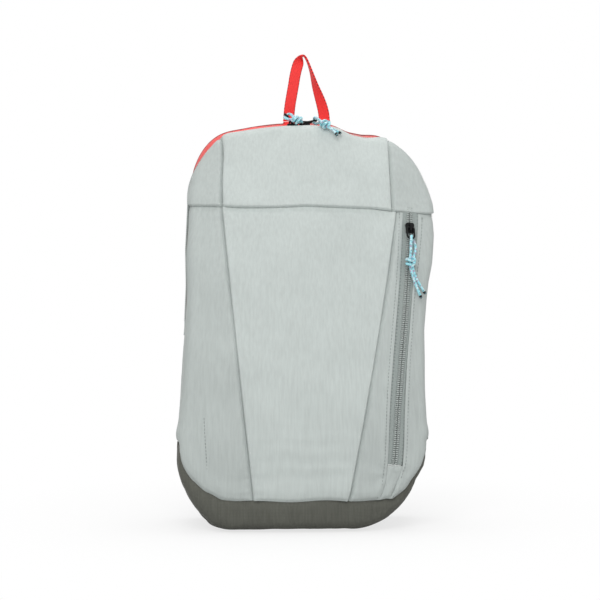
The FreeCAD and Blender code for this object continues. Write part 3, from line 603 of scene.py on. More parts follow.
def made(holder):
    """The mesh that an object's modifiers, or its curve, come to. The object is removed."""
    bpy.context.view_layer.update()
    graph = bpy.context.evaluated_depsgraph_get()
    mesh = bpy.data.meshes.new_from_object(holder.evaluated_get(graph))
    bpy.data.objects.remove(holder)
    return mesh


def vertices_of(mesh):
    """A mesh's points, in metres."""
    return np.array([v.co for v in mesh.vertices])


def mended(mesh, merge=None, heart=None):
    """Merges points that lie within a distance, and turns the faces outwards: away from heart,
    in millimetres, where the mesh is an open sheet."""
    work = bmesh.new()
    work.from_mesh(mesh)
    if merge is not None:
        bmesh.ops.remove_doubles(work, verts=work.verts, dist=merge)
    if heart is not None:
        bmesh.ops.dissolve_degenerate(work, dist=0.00001, edges=work.edges)
    bmesh.ops.recalc_face_normals(work, faces=work.faces)
    if heart is not None:
        middle = Vector(heart) * MM
        outward = sum(
            (f.calc_center_median() - middle).dot(f.normal) * f.calc_area() for f in work.faces
        )
        if outward < 0:
            bmesh.ops.reverse_faces(work, faces=work.faces)
    work.to_mesh(mesh)
    work.free()


def place_object(name, mesh, material, body, replaces=()):
    """Puts a finished mesh in the scene, with its finish, body and the CAD pieces it replaces."""
    mesh.materials.clear()
    mesh.materials.append(material)
    piece = linked(name, mesh)
    mesh.shade_smooth()
    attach(piece, body)
    if replaces:
        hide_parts(*replaces)
    return piece


def mesh_of(name, points, faces, uv=None):
    """A mesh in metres. uv holds a pair for each point."""
    mesh = bpy.data.meshes.new(name)
    mesh.from_pydata([tuple(p) for p in np.asarray(points) * MM], [], [tuple(f) for f in faces])
    if uv is not None:
        layer = mesh.uv_layers.new(name="UVMap")
        for loop in mesh.loops:
            layer.data[loop.index].uv = uv[loop.vertex_index]
    mesh.update()
    return mesh


def grid_faces(rows, columns, start=0):
    at = start + np.arange(rows * columns).reshape(rows, columns)
    return np.stack([at[:-1, :-1], at[:-1, 1:], at[1:, 1:], at[1:, :-1]], -1).reshape(-1, 4)


def sewn(name, grids, material, replaces, thick=0.8, heart=(0, -10, 200)):
    """One cloth piece from grids of points, joined where they meet. Its thickness goes inwards,
    towards its heart."""
    points, faces, start = [], [], 0
    for grid in grids:
        rows, columns = grid.shape[:2]
        points.append(slouch(grid.reshape(-1, 3)))
        faces.append(grid_faces(rows, columns, start))
        start += rows * columns
    mesh = mesh_of(name, np.concatenate(points), np.concatenate(faces))
    mended(mesh, 0.00002, heart)
    piece = place_object(name, mesh, material, "pack", replaces)
    wall = piece.modifiers.new("thickness", "SOLIDIFY")
    wall.thickness = thick * MM
    wall.offset = -1


def transported(line):
    """Two ways across a line at each point, which don't twist along it."""
    tangent = unit(np.gradient(line, axis=0))
    side = np.cross(tangent[0], (0, 0, 1) if abs(tangent[0][2]) < 0.9 else (1, 0, 0))
    sides = []
    for t in tangent:
        side = side - t * (side @ t)
        side = side / np.linalg.norm(side)
        sides.append(side)
    sides = np.array(sides)
    return sides, np.cross(tangent, sides)


def swept(line, side, up, profile, shrink=None):
    """A profile carried along a line, with its ends closed: points, faces and a uv in metres,
    across and along. Shrink holds its size at each point of the line."""
    count, around = len(line), len(profile)
    scale = np.ones(count) if shrink is None else np.asarray(shrink)
    shape = profile[None] * scale[:, None, None]
    points = line[:, None] + shape[..., :1] * side[:, None] + shape[..., 1:] * up[:, None]
    rim = lengths(np.concatenate([profile, profile[:1]]))[:-1]
    run = lengths(line)
    uv = np.stack(np.broadcast_arrays(rim[None, :], run[:, None]), -1).reshape(-1, 2) * MM
    faces = []
    for i in range(count - 1):
        here, there = i * around, (i + 1) * around
        for k in range(around):
            m = (k + 1) % around
            faces.append((here + k, here + m, there + m, there + k))
    faces.append(tuple(reversed(range(around))))
    faces.append(tuple((count - 1) * around + k for k in range(around)))
    return points.reshape(-1, 3), faces, uv


def circle(radius, count=10):
    turn = np.arange(count) / count * 2 * np.pi
    return np.stack([np.cos(turn), np.sin(turn)], -1) * radius


def tube(line, radius, around, shrink=None):
    """A round tube along a line."""
    return swept(line, *transported(line), circle(radius, around), shrink)


def solid(name, parts, material, body, replaces=(), settle=False):
    """One closed piece from swept parts, faces outwards. It may settle as the cloth does."""
    points, faces, pairs, start = [], [], [], 0
    for part_points, part_faces, part_uv in parts:
        points.append(slouch(part_points) if settle else part_points)
        faces += [tuple(i + start for i in f) for f in part_faces]
        pairs.append(part_uv)
        start += len(part_points)
    mesh = mesh_of(name, np.concatenate(points), faces, np.concatenate(pairs))
    mended(mesh)
    return place_object(name, mesh, material, body, replaces)


# What repeats along a line: stitches and coil turns --------------------------------------


def repeat_tree():
    """Copies of a small piece along a line, each facing the way that the line's points say."""
    name = "repeat_along_line"
    if name in bpy.data.node_groups:
        return bpy.data.node_groups[name]
    tree = bpy.data.node_groups.new(name, "GeometryNodeTree")
    for label, kind in (
        ("Line", "Geometry"), ("Piece", "Object"), ("Spacing", "Float"),
        ("Unevenness", "Float"), ("Seed", "Int"), ("Finish", "Material"),
    ):
        tree.interface.new_socket(name=label, in_out="INPUT", socket_type="NodeSocket" + kind)
    tree.interface.new_socket(name="Pieces", in_out="OUTPUT", socket_type="NodeSocketGeometry")
    given = add(tree, "NodeGroupInput").outputs
    curve = add(tree, "GeometryNodeMeshToCurve", {"Mesh": given["Line"]})
    even = add(
        tree, "GeometryNodeResampleCurve",
        {"Curve": curve.outputs[0], "Length": given["Spacing"]},
        mode="LENGTH",
    )
    facing = add(
        tree, "GeometryNodeInputNamedAttribute", {"Name": "facing"}, data_type="FLOAT_VECTOR"
    )
    ahead = add(tree, "GeometryNodeInputTangent")
    turned = add(
        tree, "FunctionNodeAxesToRotation",
        {"Primary Axis": ahead.outputs[0], "Secondary Axis": facing.outputs[0]},
        primary_axis="X", secondary_axis="Z",
    )
    least, most = (
        add(tree, "ShaderNodeMath", {0: 1.0, 1: given["Unevenness"]}, operation=way)
        for way in ("SUBTRACT", "ADD")
    )
    size = add(
        tree, "FunctionNodeRandomValue",
        {2: least.outputs[0], 3: most.outputs[0], "Seed": given["Seed"]},
        data_type="FLOAT",
    )
    piece = add(tree, "GeometryNodeObjectInfo", {"Object": given["Piece"]})
    copies = add(
        tree, "GeometryNodeInstanceOnPoints",
        {
            "Points": even.outputs[0], "Instance": piece.outputs["Geometry"],
            "Rotation": turned.outputs[0], "Scale": size.outputs[1],
        },
    )
    real = add(tree, "GeometryNodeRealizeInstances", {"Geometry": copies.outputs[0]})
    done = add(
        tree, "GeometryNodeSetMaterial",
        {"Geometry": real.outputs[0], "Material": given["Finish"]},
    )
    add(tree, "NodeGroupOutput", {"Pieces": done.outputs[0]})
    return tree


def repeated(name, lines, part, spacing, material, replaces=(), uneven=0.0, seed=1):
    """A plain mesh of a small part repeated along lines, which are pairs of points and facings."""
    points, edges, facings, start = [], [], [], 0
    for line, facing in lines:
        points.append(line)
        facings.append(facing)
        edges += [(start + i, start + i + 1) for i in range(len(line) - 1)]
        start += len(line)
    path = bpy.data.meshes.new(name + "_line")
    path.from_pydata([tuple(p) for p in slouch(np.concatenate(points)) * MM], edges, [])
    attribute = path.attributes.new("facing", "FLOAT_VECTOR", "POINT")
    attribute.data.foreach_set("vector", np.concatenate(facings).astype(np.float32).ravel())
    holder = linked(name + "_line", path)
    small = linked(name + "_part", mesh_of(name + "_part", *part[:2]))
    modifier = holder.modifiers.new("repeat", "NODES")
    modifier.node_group = repeat_tree()
    values = {
        "Piece": small, "Spacing": spacing * MM, "Unevenness": uneven, "Seed": seed,
        "Finish": material,
    }
    for item in modifier.node_group.interface.items_tree:
        if item.in_out == "INPUT" and item.name in values:
            modifier[item.identifier] = values[item.name]
    mesh = made(holder)
    bpy.data.objects.remove(small)
    mesh.name = name
    mended(mesh)
    return place_object(name, mesh, material, "pack", replaces)


def stitch_part(long, wide=0.55):
    """One stitch: a short thread, rounded down at both ends."""
    profile = ((-1, -0.25), (-0.6, 0.2), (0, 0.3), (0.6, 0.2), (1, -0.25))
    line = np.array([(share * (long / 2), 0, z) for share, z in profile])
    side, up = same((0, 1, 0), 5), same((0, 0, 1), 5)
    return swept(line, side, up, circle(wide / 2, 5), (0.6, 1, 1, 1, 0.6))


def turn_part(reach, high, wire, lean):
    """One turn of a zip's coil: up from the tape, over, and down at its head."""
    y = np.array([1.0, 1.05, 0.7, 0.1, 0.0, 0.25]) * reach
    z = np.array([0.15, 0.55, 0.95, 0.8, 0.45, 0.15]) * high
    return tube(np.stack([np.linspace(-lean, lean, 6), y, z], -1), wire / 2, 5)


# The stage -------------------------------------------------------------------------------


AIM_X, AIM_Y = -0.006, -0.06  # the camera looks at this place, on the pack's front
CAMERA_SHIFT = -0.1748  # keeps the camera level, with the pack in the middle of its view
SOFT_LIGHT = 0.505  # strength of the white light from all round


def build_stage():
    """A camera in front, soft studio lights and a plain pale floor."""
    scene = bpy.context.scene
    stage = scene.daypack_stage
    camera = linked("camera", bpy.data.cameras.new("camera"))
    aside, ahead = math.sin(stage.turn) * stage.reach, math.cos(stage.turn) * stage.reach
    camera.location = (AIM_X - aside, AIM_Y - ahead, stage.height)
    camera.rotation_euler = (math.pi / 2, 0, -stage.turn)
    camera.data.sensor_width = 36
    camera.data.lens = 36 * stage.reach / stage.width
    camera.data.shift_y = CAMERA_SHIFT
    scene.camera = camera

    corners = [(-6000, -6000, 0), (6000, -6000, 0), (6000, 6000, 0), (-6000, 6000, 0)]
    floor = linked("floor", mesh_of("floor", corners, [(0, 1, 2, 3)]))
    floor.data.materials.append(studio_floor())

    for name, place, size, power in (
        ("key", (-0.5, -2.2, 2.0), 1.5, 37.5),
        ("fill", (1.6, -2.0, 0.8), 1.6, 5.0),
        ("top", (0.1, 0.5, 2.3), 1.6, 17.0),
    ):
        lamp = bpy.data.lights.new(name, "AREA")
        lamp.size, lamp.energy = size, power
        light = linked(name, lamp)
        light.location = place
        aim = Vector((0, 0, 0.22)) - Vector(place)
        light.rotation_euler = aim.to_track_quat("-Z", "Y").to_euler()

    world = bpy.data.worlds.new("studio")
    scene.world = world
    world.use_nodes = True
    tree = world.node_tree
    tree.nodes.clear()
    soft, white = (
        add(tree, "ShaderNodeBackground", {"Color": (1, 1, 1, 1), "Strength": strength})
        for strength in (SOFT_LIGHT, 1.0)
    )
    ray = add(tree, "ShaderNodeLightPath").outputs
    seen = ray["Is Camera Ray"]
    for other in ("Is Glossy Ray", "Is Transmission Ray"):
        both = add(tree, "ShaderNodeMath", {0: seen, 1: ray[other]}, operation="MAXIMUM")
        seen = both.outputs[0]
    light = add(tree, "ShaderNodeMixShader", {0: seen, 1: soft.outputs[0], 2: white.outputs[0]})
    add(tree, "ShaderNodeOutputWorld", {"Surface": light.outputs[0]})
    scene.view_settings.view_transform = "Standard"


def studio_floor():
    """White studio floor: it takes the object's shadow, and away from the object it is white."""
    material, tree = finish_of("studio_floor")
    if tree is None:
        return material
    paint = add(tree, "ShaderNodeBsdfDiffuse", {"Color": (0.93, 0.93, 0.93, 1)})
    dull = add(tree, "ShaderNodeBsdfDiffuse", {"Color": (0.7, 0.7, 0.7, 1)})
    white = add(tree, "ShaderNodeEmission", {"Color": (1, 1, 1, 1), "Strength": 1.0})
    place = add(tree, "ShaderNodeTexCoord").outputs["Object"]
    reach = add(tree, "ShaderNodeVectorMath", {0: place}, operation="LENGTH")
    far = add(
        tree, "ShaderNodeMapRange",
        {"Value": reach.outputs["Value"], "From Min": 0.1, "From Max": 0.42, "To Min": 0.74},
        interpolation_type="SMOOTHSTEP",
    )
    ray = add(tree, "ShaderNodeLightPath").outputs["Is Camera Ray"]
    seen = add(
        tree, "ShaderNodeMixShader",
        {0: far.outputs[0], 1: paint.outputs[0], 2: white.outputs[0]},
    )
    both = add(tree, "ShaderNodeMixShader", {0: ray, 1: dull.outputs[0], 2: seen.outputs[0]})
    add(tree, "ShaderNodeOutputMaterial", {"Surface": both.outputs[0]})
    return material


# Cords, on the CAD's routes --------------------------------------------------------------

# Each cord's points, from its slider's bail: across the slider, towards its nose and outwards
CORD_ROUTES = {
    "pocket": [
        (12.0, -70.5, -1.8), (7.4, -61.5, -0.6), (3.4, -52.6, 0.6), (0.0, -44.0, 1.8),
        (-1.6, -36.0, 3.0), (-0.8, -28.0, 4.0), (-1.2, -20.4, 5.4), (-1.0, -9.6, 6.2),
        (1.8, -9.6, -0.9), (5.6, -17.4, -0.6), (4.6, -26.0, 1.4), (1.4, -33.4, 2.6),
        (1.6, -41.6, 2.0), (4.8, -49.4, 0.6), (9.6, -57.2, -0.8), (16.6, -65.4, -3.0),
    ],
    "main_right": [
        (-26.4, -34.5, -14.2), (-26.8, -28.2, -11.6), (-26.2, -22.6, -8.4), (-24.1, -18.4, -4.7),
        (-17.8, -15.0, -0.8), (-9.4, -12.2, 3.2), (-0.4, -9.6, 6.4), (0.8, -9.6, -1.0),
        (-5.6, -13.6, -0.9), (-13.2, -17.0, -0.2), (-20.6, -19.8, -3.4), (-24.6, -22.8, -7.6),
        (-28.8, -27.6, -11.8), (-30.2, -30.4, -16.8),
    ],
    "main_left": [
        (-19.0, 12.0, 2.6), (-12.6, 8.2, 1.8), (-5.6, 5.4, 1.4), (1.8, 6.2, 1.4),
        (8.2, 8.4, 1.2), (12.0, 3.4, 1.3), (8.4, -0.4, 6.4), (0.4, -3.2, 10.2),
        (0.3, -8.4, 6.2), (7.2, -7.4, 3.8), (10.4, -1.4, 1.6), (11.0, 4.2, 1.6),
        (8.8, 9.2, 3.4), (2.6, 7.6, 5.0), (-4.4, 5.2, 4.6), (-11.4, 3.4, 4.0),
        (-17.6, 0.2, 2.8),
    ],
}
CORD_KNOTS = {"pocket": 4, "main_right": 3, "main_left": 5}  # the point that each is knotted at
CORD = 2.8


def joint(name):
    return next(j for j in frame["joints"] if j["name"] == name)


def slider_frame(name):
    """A slider's frame at its bail's bar: the bar, and the ways across, to the nose and out."""
    bar = np.array(joint(name + "_pull_swing")["pos_m"]) / MM
    centre = np.array(joint(name + "_slider_travel")["pos_m"]) / MM
    axis = unit(np.array(joint(name + "_pull_swing")["axis"], float))
    across = axis if name == "main_left" else -axis
    out = bar - centre
    out = unit(out - across * (out @ across))
    return bar, np.stack([across, np.cross(out, across), out])


def smooth_line(name, points):
    """The points that a NURBS spline follows through its control points, in millimetres."""
    curve = bpy.data.curves.new(name + "_route", "CURVE")
    curve.dimensions = "3D"
    spline = curve.splines.new("NURBS")
    spline.points.add(len(points) - 1)
    for control, point in zip(spline.points, points):
        control.co = (*(point * MM), 1)
    spline.order_u = 3
    spline.use_endpoint_u = True
    spline.resolution_u = 10
    mesh = made(linked(name + "_route", curve))
    line = vertices_of(mesh) / MM
    bpy.data.meshes.remove(mesh)
    return line


def braided_cord():
    """Braided polyester accessory cord: pale aqua strands with white and violet flecks."""
    material, tree = finish_of("braided_cord_aqua")
    if tree is None:
        return material
    place = add(tree, "ShaderNodeTexCoord").outputs["UV"]
    lay, counter_lay = (
        add(tree, "ShaderNodeMapping", {"Vector": place, "Rotation": (0, 0, angle)}).outputs[0]
        for angle in (0.7, -0.7)
    )
    one, two = (
        add(
            tree, "ShaderNodeTexWave", {"Vector": way, "Scale": WAVE / (1.3 * MM)},
            bands_direction="X",
        ).outputs["Fac"]
        for way in (lay, counter_lay)
    )
    braid = add(tree, "ShaderNodeMath", {0: one, 1: two}, operation="MAXIMUM")
    cells = add(tree, "ShaderNodeTexVoronoi", {"Vector": lay, "Scale": 620.0})
    drawn = add(tree, "ShaderNodeSeparateColor", {"Color": cells.outputs["Color"]}).outputs
    colour = shaded(colours().cord)
    for draw, limit, strand in (
        (drawn[2], 0.72, shaded(colours().cord, 0.66)),
        (drawn[0], 0.74, shaded(linear("#D2EFF4"))),
        (drawn[1], 0.87, shaded(linear("#B79AB8"))),
    ):
        chosen = add(tree, "ShaderNodeMath", {0: draw, 1: limit}, operation="GREATER_THAN")
        colour = add(
            tree, "ShaderNodeMix", {0: chosen.outputs[0], 6: colour, 7: strand},
            data_type="RGBA",
        ).outputs[2]
    bump = add(
        tree, "ShaderNodeBump",
        {"Height": braid.outputs[0], "Strength": 0.8, "Distance": 0.0003},
    )
    sheath = add(
        tree, "ShaderNodeBsdfPrincipled",
        {"Base Color": colour, "Normal": bump.outputs[0], "Roughness": 0.62, "Sheen Weight": 0.1},
    )
    add(tree, "ShaderNodeOutputMaterial", {"Surface": sheath.outputs[0]})
    return material


def heat_sealed_end():
    """Heat-sealed cord end: melted polyester, dark and half glossy."""
    return plain("heat_sealed_cord_end", "#17181A", 0.4, grain=1.0, relief=0.3, shine=0.3)


def tight_knot(centre, ways):
    """An overhand knot drawn tight: two turns round its own axis and one strand across them.
    Ways are the directions across the knot, along it and out."""
    share = np.linspace(0, 1, 22)
    turn = 2 * np.pi * 2.1 * share
    radius = 2.6 + 0.9 * np.sin(np.pi * share)
    ring = np.stack([radius * np.cos(turn), (share - 0.5) * 8.6, radius * np.sin(turn)], -1)
    over = [(4.3, 3.4, 1.6), (4.4, 0.6, 2.9), (3.4, -2.6, 3.4), (1.4, -4.6, 2.2), (0, -5.4, 0.4)]
    return centre + np.concatenate([ring, over]) @ ways


def build_cords():
    """The three pulls' cords, each a loop through its ring, with its knot and sealed ends."""
    for name, route in CORD_ROUTES.items():
        bar, ways = slider_frame(name)
        body = name + "_pull"
        places = bar + np.array(route) @ ways
        line = smooth_line(name + "_cord", places)
        braid = solid(
            name + "_cord_braid", [tube(line, CORD / 2, 12)], braided_cord(), body,
            [name + "_cord"],
        )
        at = CORD_KNOTS[name]
        ahead = unit(np.subtract(route[at + 1], route[at - 1]) @ ways)
        aside = unit(np.cross(ahead, ways[2]))
        knot_ways = np.stack([aside, ahead, np.cross(aside, ahead)])
        wrap = smooth_line(name + "_knot", tight_knot(places[at], knot_ways))
        knot = solid(
            name + "_knot_braid", [tube(wrap, CORD / 2, 12)], braided_cord(), body,
            [name + "_knot"],
        )
        ends = []
        for end, inner in ((line[0], line[3]), (line[-1], line[-4])):
            seal = end + unit(end - inner) * np.array([-2.6, -2.2, -1.0, 0.2, 0.7])[:, None]
            ends.append(tube(seal, CORD / 2 + 0.12, 12, (0.96, 1.0, 1.0, 0.86, 0.45)))
        seals = solid(name + "_cord_ends", ends, heat_sealed_end(), body)


# The stuffed front and the panels round it -----------------------------------------------


def fullness(points):
    """How far the stuffed cloth stands in or out, from its slackness, folds and creases."""
    x, z = points[..., 0], points[..., 2]
    lift = 0.7 * waves(points, 85, 3) + 0.26 * waves(points, 30, 4, (1, 1, 0.5))
    # Level folds low in the middle, where the cloth slumps on the base
    low_middle = np.exp(-((x / 52) ** 4)) * bell(z, 74, 32)
    lift += 0.34 * low_middle * np.sin(2 * np.pi * (z + 3.5 * waves(points, 60, 5)) / 15)
    # Creases that fan out from under the haul loop, and from the foot of the pocket's zip
    from_loop, fan = np.hypot(x + 6, z - 402), np.arctan2(x + 6, 402 - z)
    lift += 0.8 * np.exp(-from_loop / 36) * np.sin(9 * fan + 0.6) * smooth(4, 14, from_loop)
    from_foot, fan = np.hypot(x - 82, z - 58), np.arctan2(x - 82, z - 58)
    lift += 1.0 * np.exp(-from_foot / 20) * np.sin(7 * fan)
    # Slanting folds low on both sides
    sides = bell(np.abs(x), 104, 16) * bell(z, 108, 36)
    return lift + 0.6 * sides * np.sin(2 * np.pi * (np.abs(x) + 0.12 * z) / 19)


SEAM_DEPTH = 1.9  # how far down a seam pulls its cloth
LAP = 1.5  # how far a lapped seam stands over the cloth


def hemmed(points, lift, edges, kinds):
    """The lift of cloth with its edges sewn down, each in its kind of seam."""
    for edge, kind in zip(edges, kinds):
        if kind is not None:
            distance, run = nearest(points, edge)
            lift = lift * smooth(-2, 6, distance) + seam_lift(distance, run, kind)
    return lift


def seam_lift(distance, run, kind):
    """How far cloth stands in or out beside its edge. A rim turns over to the zip, a hem and a
    lap lie on top of their neighbour, and the other kinds dip under it."""
    pucker = 0.32 * np.exp(-distance / 7) * np.sin(2 * np.pi * run / 8.5 + 1.4 * np.sin(run / 23))
    pucker *= smooth(0.5, 3, distance)
    if kind == "rim":
        return -0.5 * bell(distance, 0, 1.2)
    if kind == "hem":
        fold = 0.9 * (1 - smooth(2, 12, distance)) - 0.3 * bell(distance, 0, 0.8)
        return fold + 0.4 * pucker
    if kind == "lap":
        fold = LAP * (1 - smooth(2, 24, distance)) - (LAP + SEAM_DEPTH) * bell(distance, 0, 0.9)
        return fold + 0.6 * pucker
    if kind == "full":
        return 1.7 * bell(distance, 9, 8) - SEAM_DEPTH * bell(distance, 0, 2.2) + pucker
    if kind == "under":
        return -SEAM_DEPTH * bell(distance, 0, 5.0) + pucker
    return -SEAM_DEPTH * bell(distance, 0, 1.9) + 0.3 * bell(distance, 6, 4) + pucker


def front_panel(edges, kinds, across, up):
    """One sewn panel of the front. Its edges are lines of the flat drawing: the bottom, the top,
    the left and the right."""
    flat = coons(*edges, across, up)
    x, z = flat[..., 0], flat[..., 1]
    points = front_point(x, z)
    sewn_edges = [front_point(edge[:, 0], edge[:, 1]) for edge in edges]
    lift = hemmed(points, fullness(points), sewn_edges, kinds)
    return points + front_way(x, z) * lift[..., None]


# How far across the pack the yoke's side seams lie, at their feet and their heads
YOKE_SIDE_LEFT, YOKE_SIDE_RIGHT = (-82.2, -83.3), (86.8, 85.6)
YOKE_TIP = 92.0  # and how far off the middle they meet the crown's rim
# How far off the middle the centre panel's seams lie, at the base and at the yoke
CENTRE_SIDE = {-1: (53.5, 83.0), 1: (40.5, 91.8)}


def front_edges():
    """The seam lines of the front's flat drawing, and the shares of the rim that they meet."""
    seam = yoke_seam(-HALF - WALL, HALF + WALL, 220)
    lines = {"yoke_seam": seam}
    for side, name, shares, feet, end in (
        (-1, "left", np.linspace(2, 3, 400), YOKE_SIDE_LEFT, seam[0]),
        (1, "right", np.linspace(4, 5, 400), YOKE_SIDE_RIGHT, seam[-1]),
    ):
        outline = FRONT.at(shares, WALL)[0]
        tip = np.abs(outline[:, 0] - side * YOKE_TIP).argmin()
        line = straight(yoke_seam(feet[0], feet[0], 1)[0], outline[tip])
        line = settled(line, row_x=np.linspace(*feet, len(line)))
        line[-1] = outline[tip]
        lines["yoke_side_" + name] = line
        lines["yoke_tip_" + name] = shares[tip]
        lines["rim_seam_" + name] = FRONT.side_share(end[1], side)
        lines["rim_base_" + name] = FRONT.side_share(base_flank(side)[-1][1], side)
    return lines


def between(line, start, end):
    """The part of a line between two places across the pack."""
    x = line[:, 0]
    keep = line[(x > start) & (x < end)]
    z = np.interp((start, end), x, line[:, 1])
    return np.concatenate([[(start, z[0])], keep, [(end, z[1])]])


def build_front():
    """The yoke's three panels, the centre panel, the left panel and the pocket's two panels."""
    # The panels beside the middle ones take the grey painted a shade darker, which is painted
    # shade
    grey, grey_painted_shade, lines = grey_nylon(), side_nylon_painted_shade(), front_edges()
    seam, foot = lines["yoke_seam"], base_seam(-110, 110, 200)
    left, right = lines["yoke_side_left"], lines["yoke_side_right"]
    centre_left, centre_right = centre_edge(-1), centre_edge(1)
    zip_inner, zip_outer = pocket_seam(-1, seam), pocket_seam(1, seam)
    flank_left, flank_right = base_flank(-1)[::-1], base_flank(1)

    def rim(start, end, count=90):
        return rim_line(lines[start], lines[end], count)

    def top(start, end):
        return between(seam, start[0], end[0])

    def bottom(start, end):
        return between(foot, start[0], end[0])

    left_foot = bottom(flank_left[-1] + 0.5, centre_left[0])
    right_foot = bottom(zip_outer[0], flank_right[0] - 0.5)
    gore_edges = (
        bottom(zip_inner[0], zip_outer[0]), straight(zip_inner[13], zip_outer[13]),
        zip_inner[:14], zip_outer[:14],
    )
    gore = front_panel(gore_edges, ("full", "hem", "hem", "hem"), 12, 20)
    for name, node, finish, edges, kinds, across, up in (
        (
            "yoke_centre_cloth", "yoke_centre", grey,
            (top(left[0], right[0]), rim("yoke_tip_left", "yoke_tip_right", 160), left, right),
            ("lap", "rim", "lap", "lap"), 84, 54,
        ),
        (
            "yoke_left_cloth", "yoke_left", grey_painted_shade,
            (
                top(seam[0], left[0]), left[-1:].repeat(4, 0),
                rim("rim_seam_left", "yoke_tip_left"), left,
            ),
            ("lap", None, "rim", "tuck"), 36, 52,
        ),
        (
            "yoke_right_cloth", "yoke_right", grey_painted_shade,
            (
                top(right[0], seam[-1]), right[-1:].repeat(4, 0),
                right, rim("rim_seam_right", "yoke_tip_right"),
            ),
            ("lap", None, "tuck", "rim"), 36, 52,
        ),
        (
            "front_centre_cloth", "front_centre_panel", grey,
            (
                bottom(centre_left[0], centre_right[0]), top(centre_left[-1], centre_right[-1]),
                centre_left, centre_right,
            ),
            ("full", "under", "lap", "lap"), 72, 116,
        ),
        (
            "front_left_cloth", "front_left_panel", grey_painted_shade,
            (
                np.concatenate([flank_left, left_foot]), top(seam[0], centre_left[-1]),
                rim("rim_base_left", "rim_seam_left"), centre_left,
            ),
            ("full", "under", "rim", "tuck"), 58, 110,
        ),
        (
            "pocket_inner_cloth", "pocket_inner_panel", grey_painted_shade,
            (
                bottom(centre_right[0], zip_inner[0]), top(centre_right[-1], zip_inner[-1]),
                centre_right, zip_inner,
            ),
            ("full", "under", "tuck", "hem"), 30, 110,
        ),
        (
            "pocket_outer_cloth", "pocket_outer_panel", grey_painted_shade,
            (
                np.concatenate([right_foot, flank_right]), top(zip_outer[-1], seam[-1]),
                zip_outer, rim("rim_base_right", "rim_seam_right"),
            ),
            ("full", "under", "hem", "rim"), 40, 110,
        ),
    ):
        grids = [front_panel(edges, kinds, across, up)]
        if node == "pocket_outer_panel":
            grids.append(gore)
        sewn(name, grids, finish, [node])


def centre_edge(side):
    """The seam beside the centre panel, from the base's seam up to the yoke's."""
    low, high = CENTRE_SIDE[side]
    foot, head = base_seam(side * low, side * low, 1)[0], yoke_seam(side * high, side * high, 1)[0]
    share = np.linspace(0, 1, 90)
    row_x = side * (low + (high - low) * share + 1.2 * np.sin(np.pi * share))
    return settled(straight(foot, head, 90), row_x=row_x)


def pocket_seam(side, seam):
    """The edge of the cloth beside the pocket's zip, inner is -1, and on down to the base."""
    beside = pocket_line(side * POCKET_HALF + 0.4 + 0.4 * side)
    beside[:, 0] += (0.55 + 0.55 * side) * smooth(180, 80, beside[:, 1])
    head = seam[np.abs(seam[:, 0] - beside[-1][0]).argmin()]
    beside = beside[beside[:, 1] < head[1] - 1]
    below = base_seam(81 + 7 * side, 81 + 7 * side, 1)[0]
    top = beside[-1][0] + 0.2
    top = [(top, np.interp(top, seam[:, 0], seam[:, 1]))]
    return np.concatenate([straight(below, beside[0], 14), beside[1:], top])


def ring_points(share, level, out=0.0):
    """Points round the pack at those shares: level 0 is the front's edge, 1 the zip band's rear
    edge and 2 the back seam."""
    if level == 2:
        flat = BACK.at(share, out)[0]
        return np.stack([flat[:, 0], np.full(len(flat), BACK_Y), flat[:, 1]], -1)
    flat = FRONT.at(share, out)[0]
    return leaned(flat[:, 0], np.full(len(flat), level * ZIP_BAND), flat[:, 1])


def share_at(row_z, level, side):
    """The share at a height of the pack on a straight side."""
    if level == 2:
        return BACK.side_share(row_z, side)
    return FRONT.side_share((row_z + level * ZIP_BAND * SIN - ZIP_BAND * SIN) / COS, side)


def wall_grid(lines, rows, seed, sag, edge_kinds=("tuck", "tuck", "tuck", "tuck")):
    """A ruled wall through lines round the pack, in rows, with its slackness and seams. The
    edges' kinds are those of its first line, its last line and its two ends."""
    stations = len(lines) - 1
    shares = spread(rows, 0.6) * stations
    index = np.minimum(shares.astype(int), stations - 1)
    part = (shares - index)[:, None, None]
    stack = np.stack(lines)
    points = stack[index] * (1 - part) + stack[index + 1] * part
    down, ahead = np.gradient(points, axis=0), np.gradient(points, axis=1)
    way = unit(np.cross(ahead, down))
    if ((points - (0, -10, 200)) * way).sum() < 0:
        way = -way
    lift = 0.5 * waves(points, 60, seed) + 0.18 * waves(points, 24, seed + 1)
    lift -= sag * np.sin(np.pi * np.linspace(0, 1, rows))[:, None]
    borders = (points[0], points[-1], points[:, 0], points[:, -1])
    points = points + way * hemmed(points, lift, borders, edge_kinds)[..., None]
    points[..., 2] = np.maximum(points[..., 2], 0.25)
    return points


def build_gusset():
    """The red gusset behind the crown zip, and the grey side panels below it."""
    lines = []
    for level in (1, 2):
        ends = [share_at(ZIP_FOOT, level, side) for side in (-1, 1)]
        lines.append(along(ring_points(np.linspace(*ends, 600), level), spread(230, 0.2)))
    points = wall_grid(lines, 30, 21, 1.2)
    sewn("gusset_cloth", [points], red_nylon(), ["zip_gusset"])
    for side, name in ((-1, "left"), (1, "right")):
        lines = []
        for level in (0, 1, 2):
            ends = [share_at(height, level, side) for height in (BASE_LEVEL, ZIP_FOOT)]
            lines.append(along(ring_points(np.linspace(*ends, 200), level), spread(48)))
        points = wall_grid(lines, 36, 31 + side, 0.8, ("rim", "tuck", "tuck", "tuck"))
        # The side panels take the grey painted a shade darker, which is painted shade
        sewn(
            "side_cloth_" + name, [points], side_nylon_painted_shade(), ["side_panel_" + name]
        )


def base_shares(level):
    """The shares along the base, from its seam's end at the left, under the pack and up again."""
    left, right = (share_at(BASE_LEVEL, level, side) for side in (-1, 1))
    parts = (np.linspace(left, 0, 200), np.linspace(8, 7, 80), np.linspace(6.9999, right, 200))
    return np.concatenate(parts)


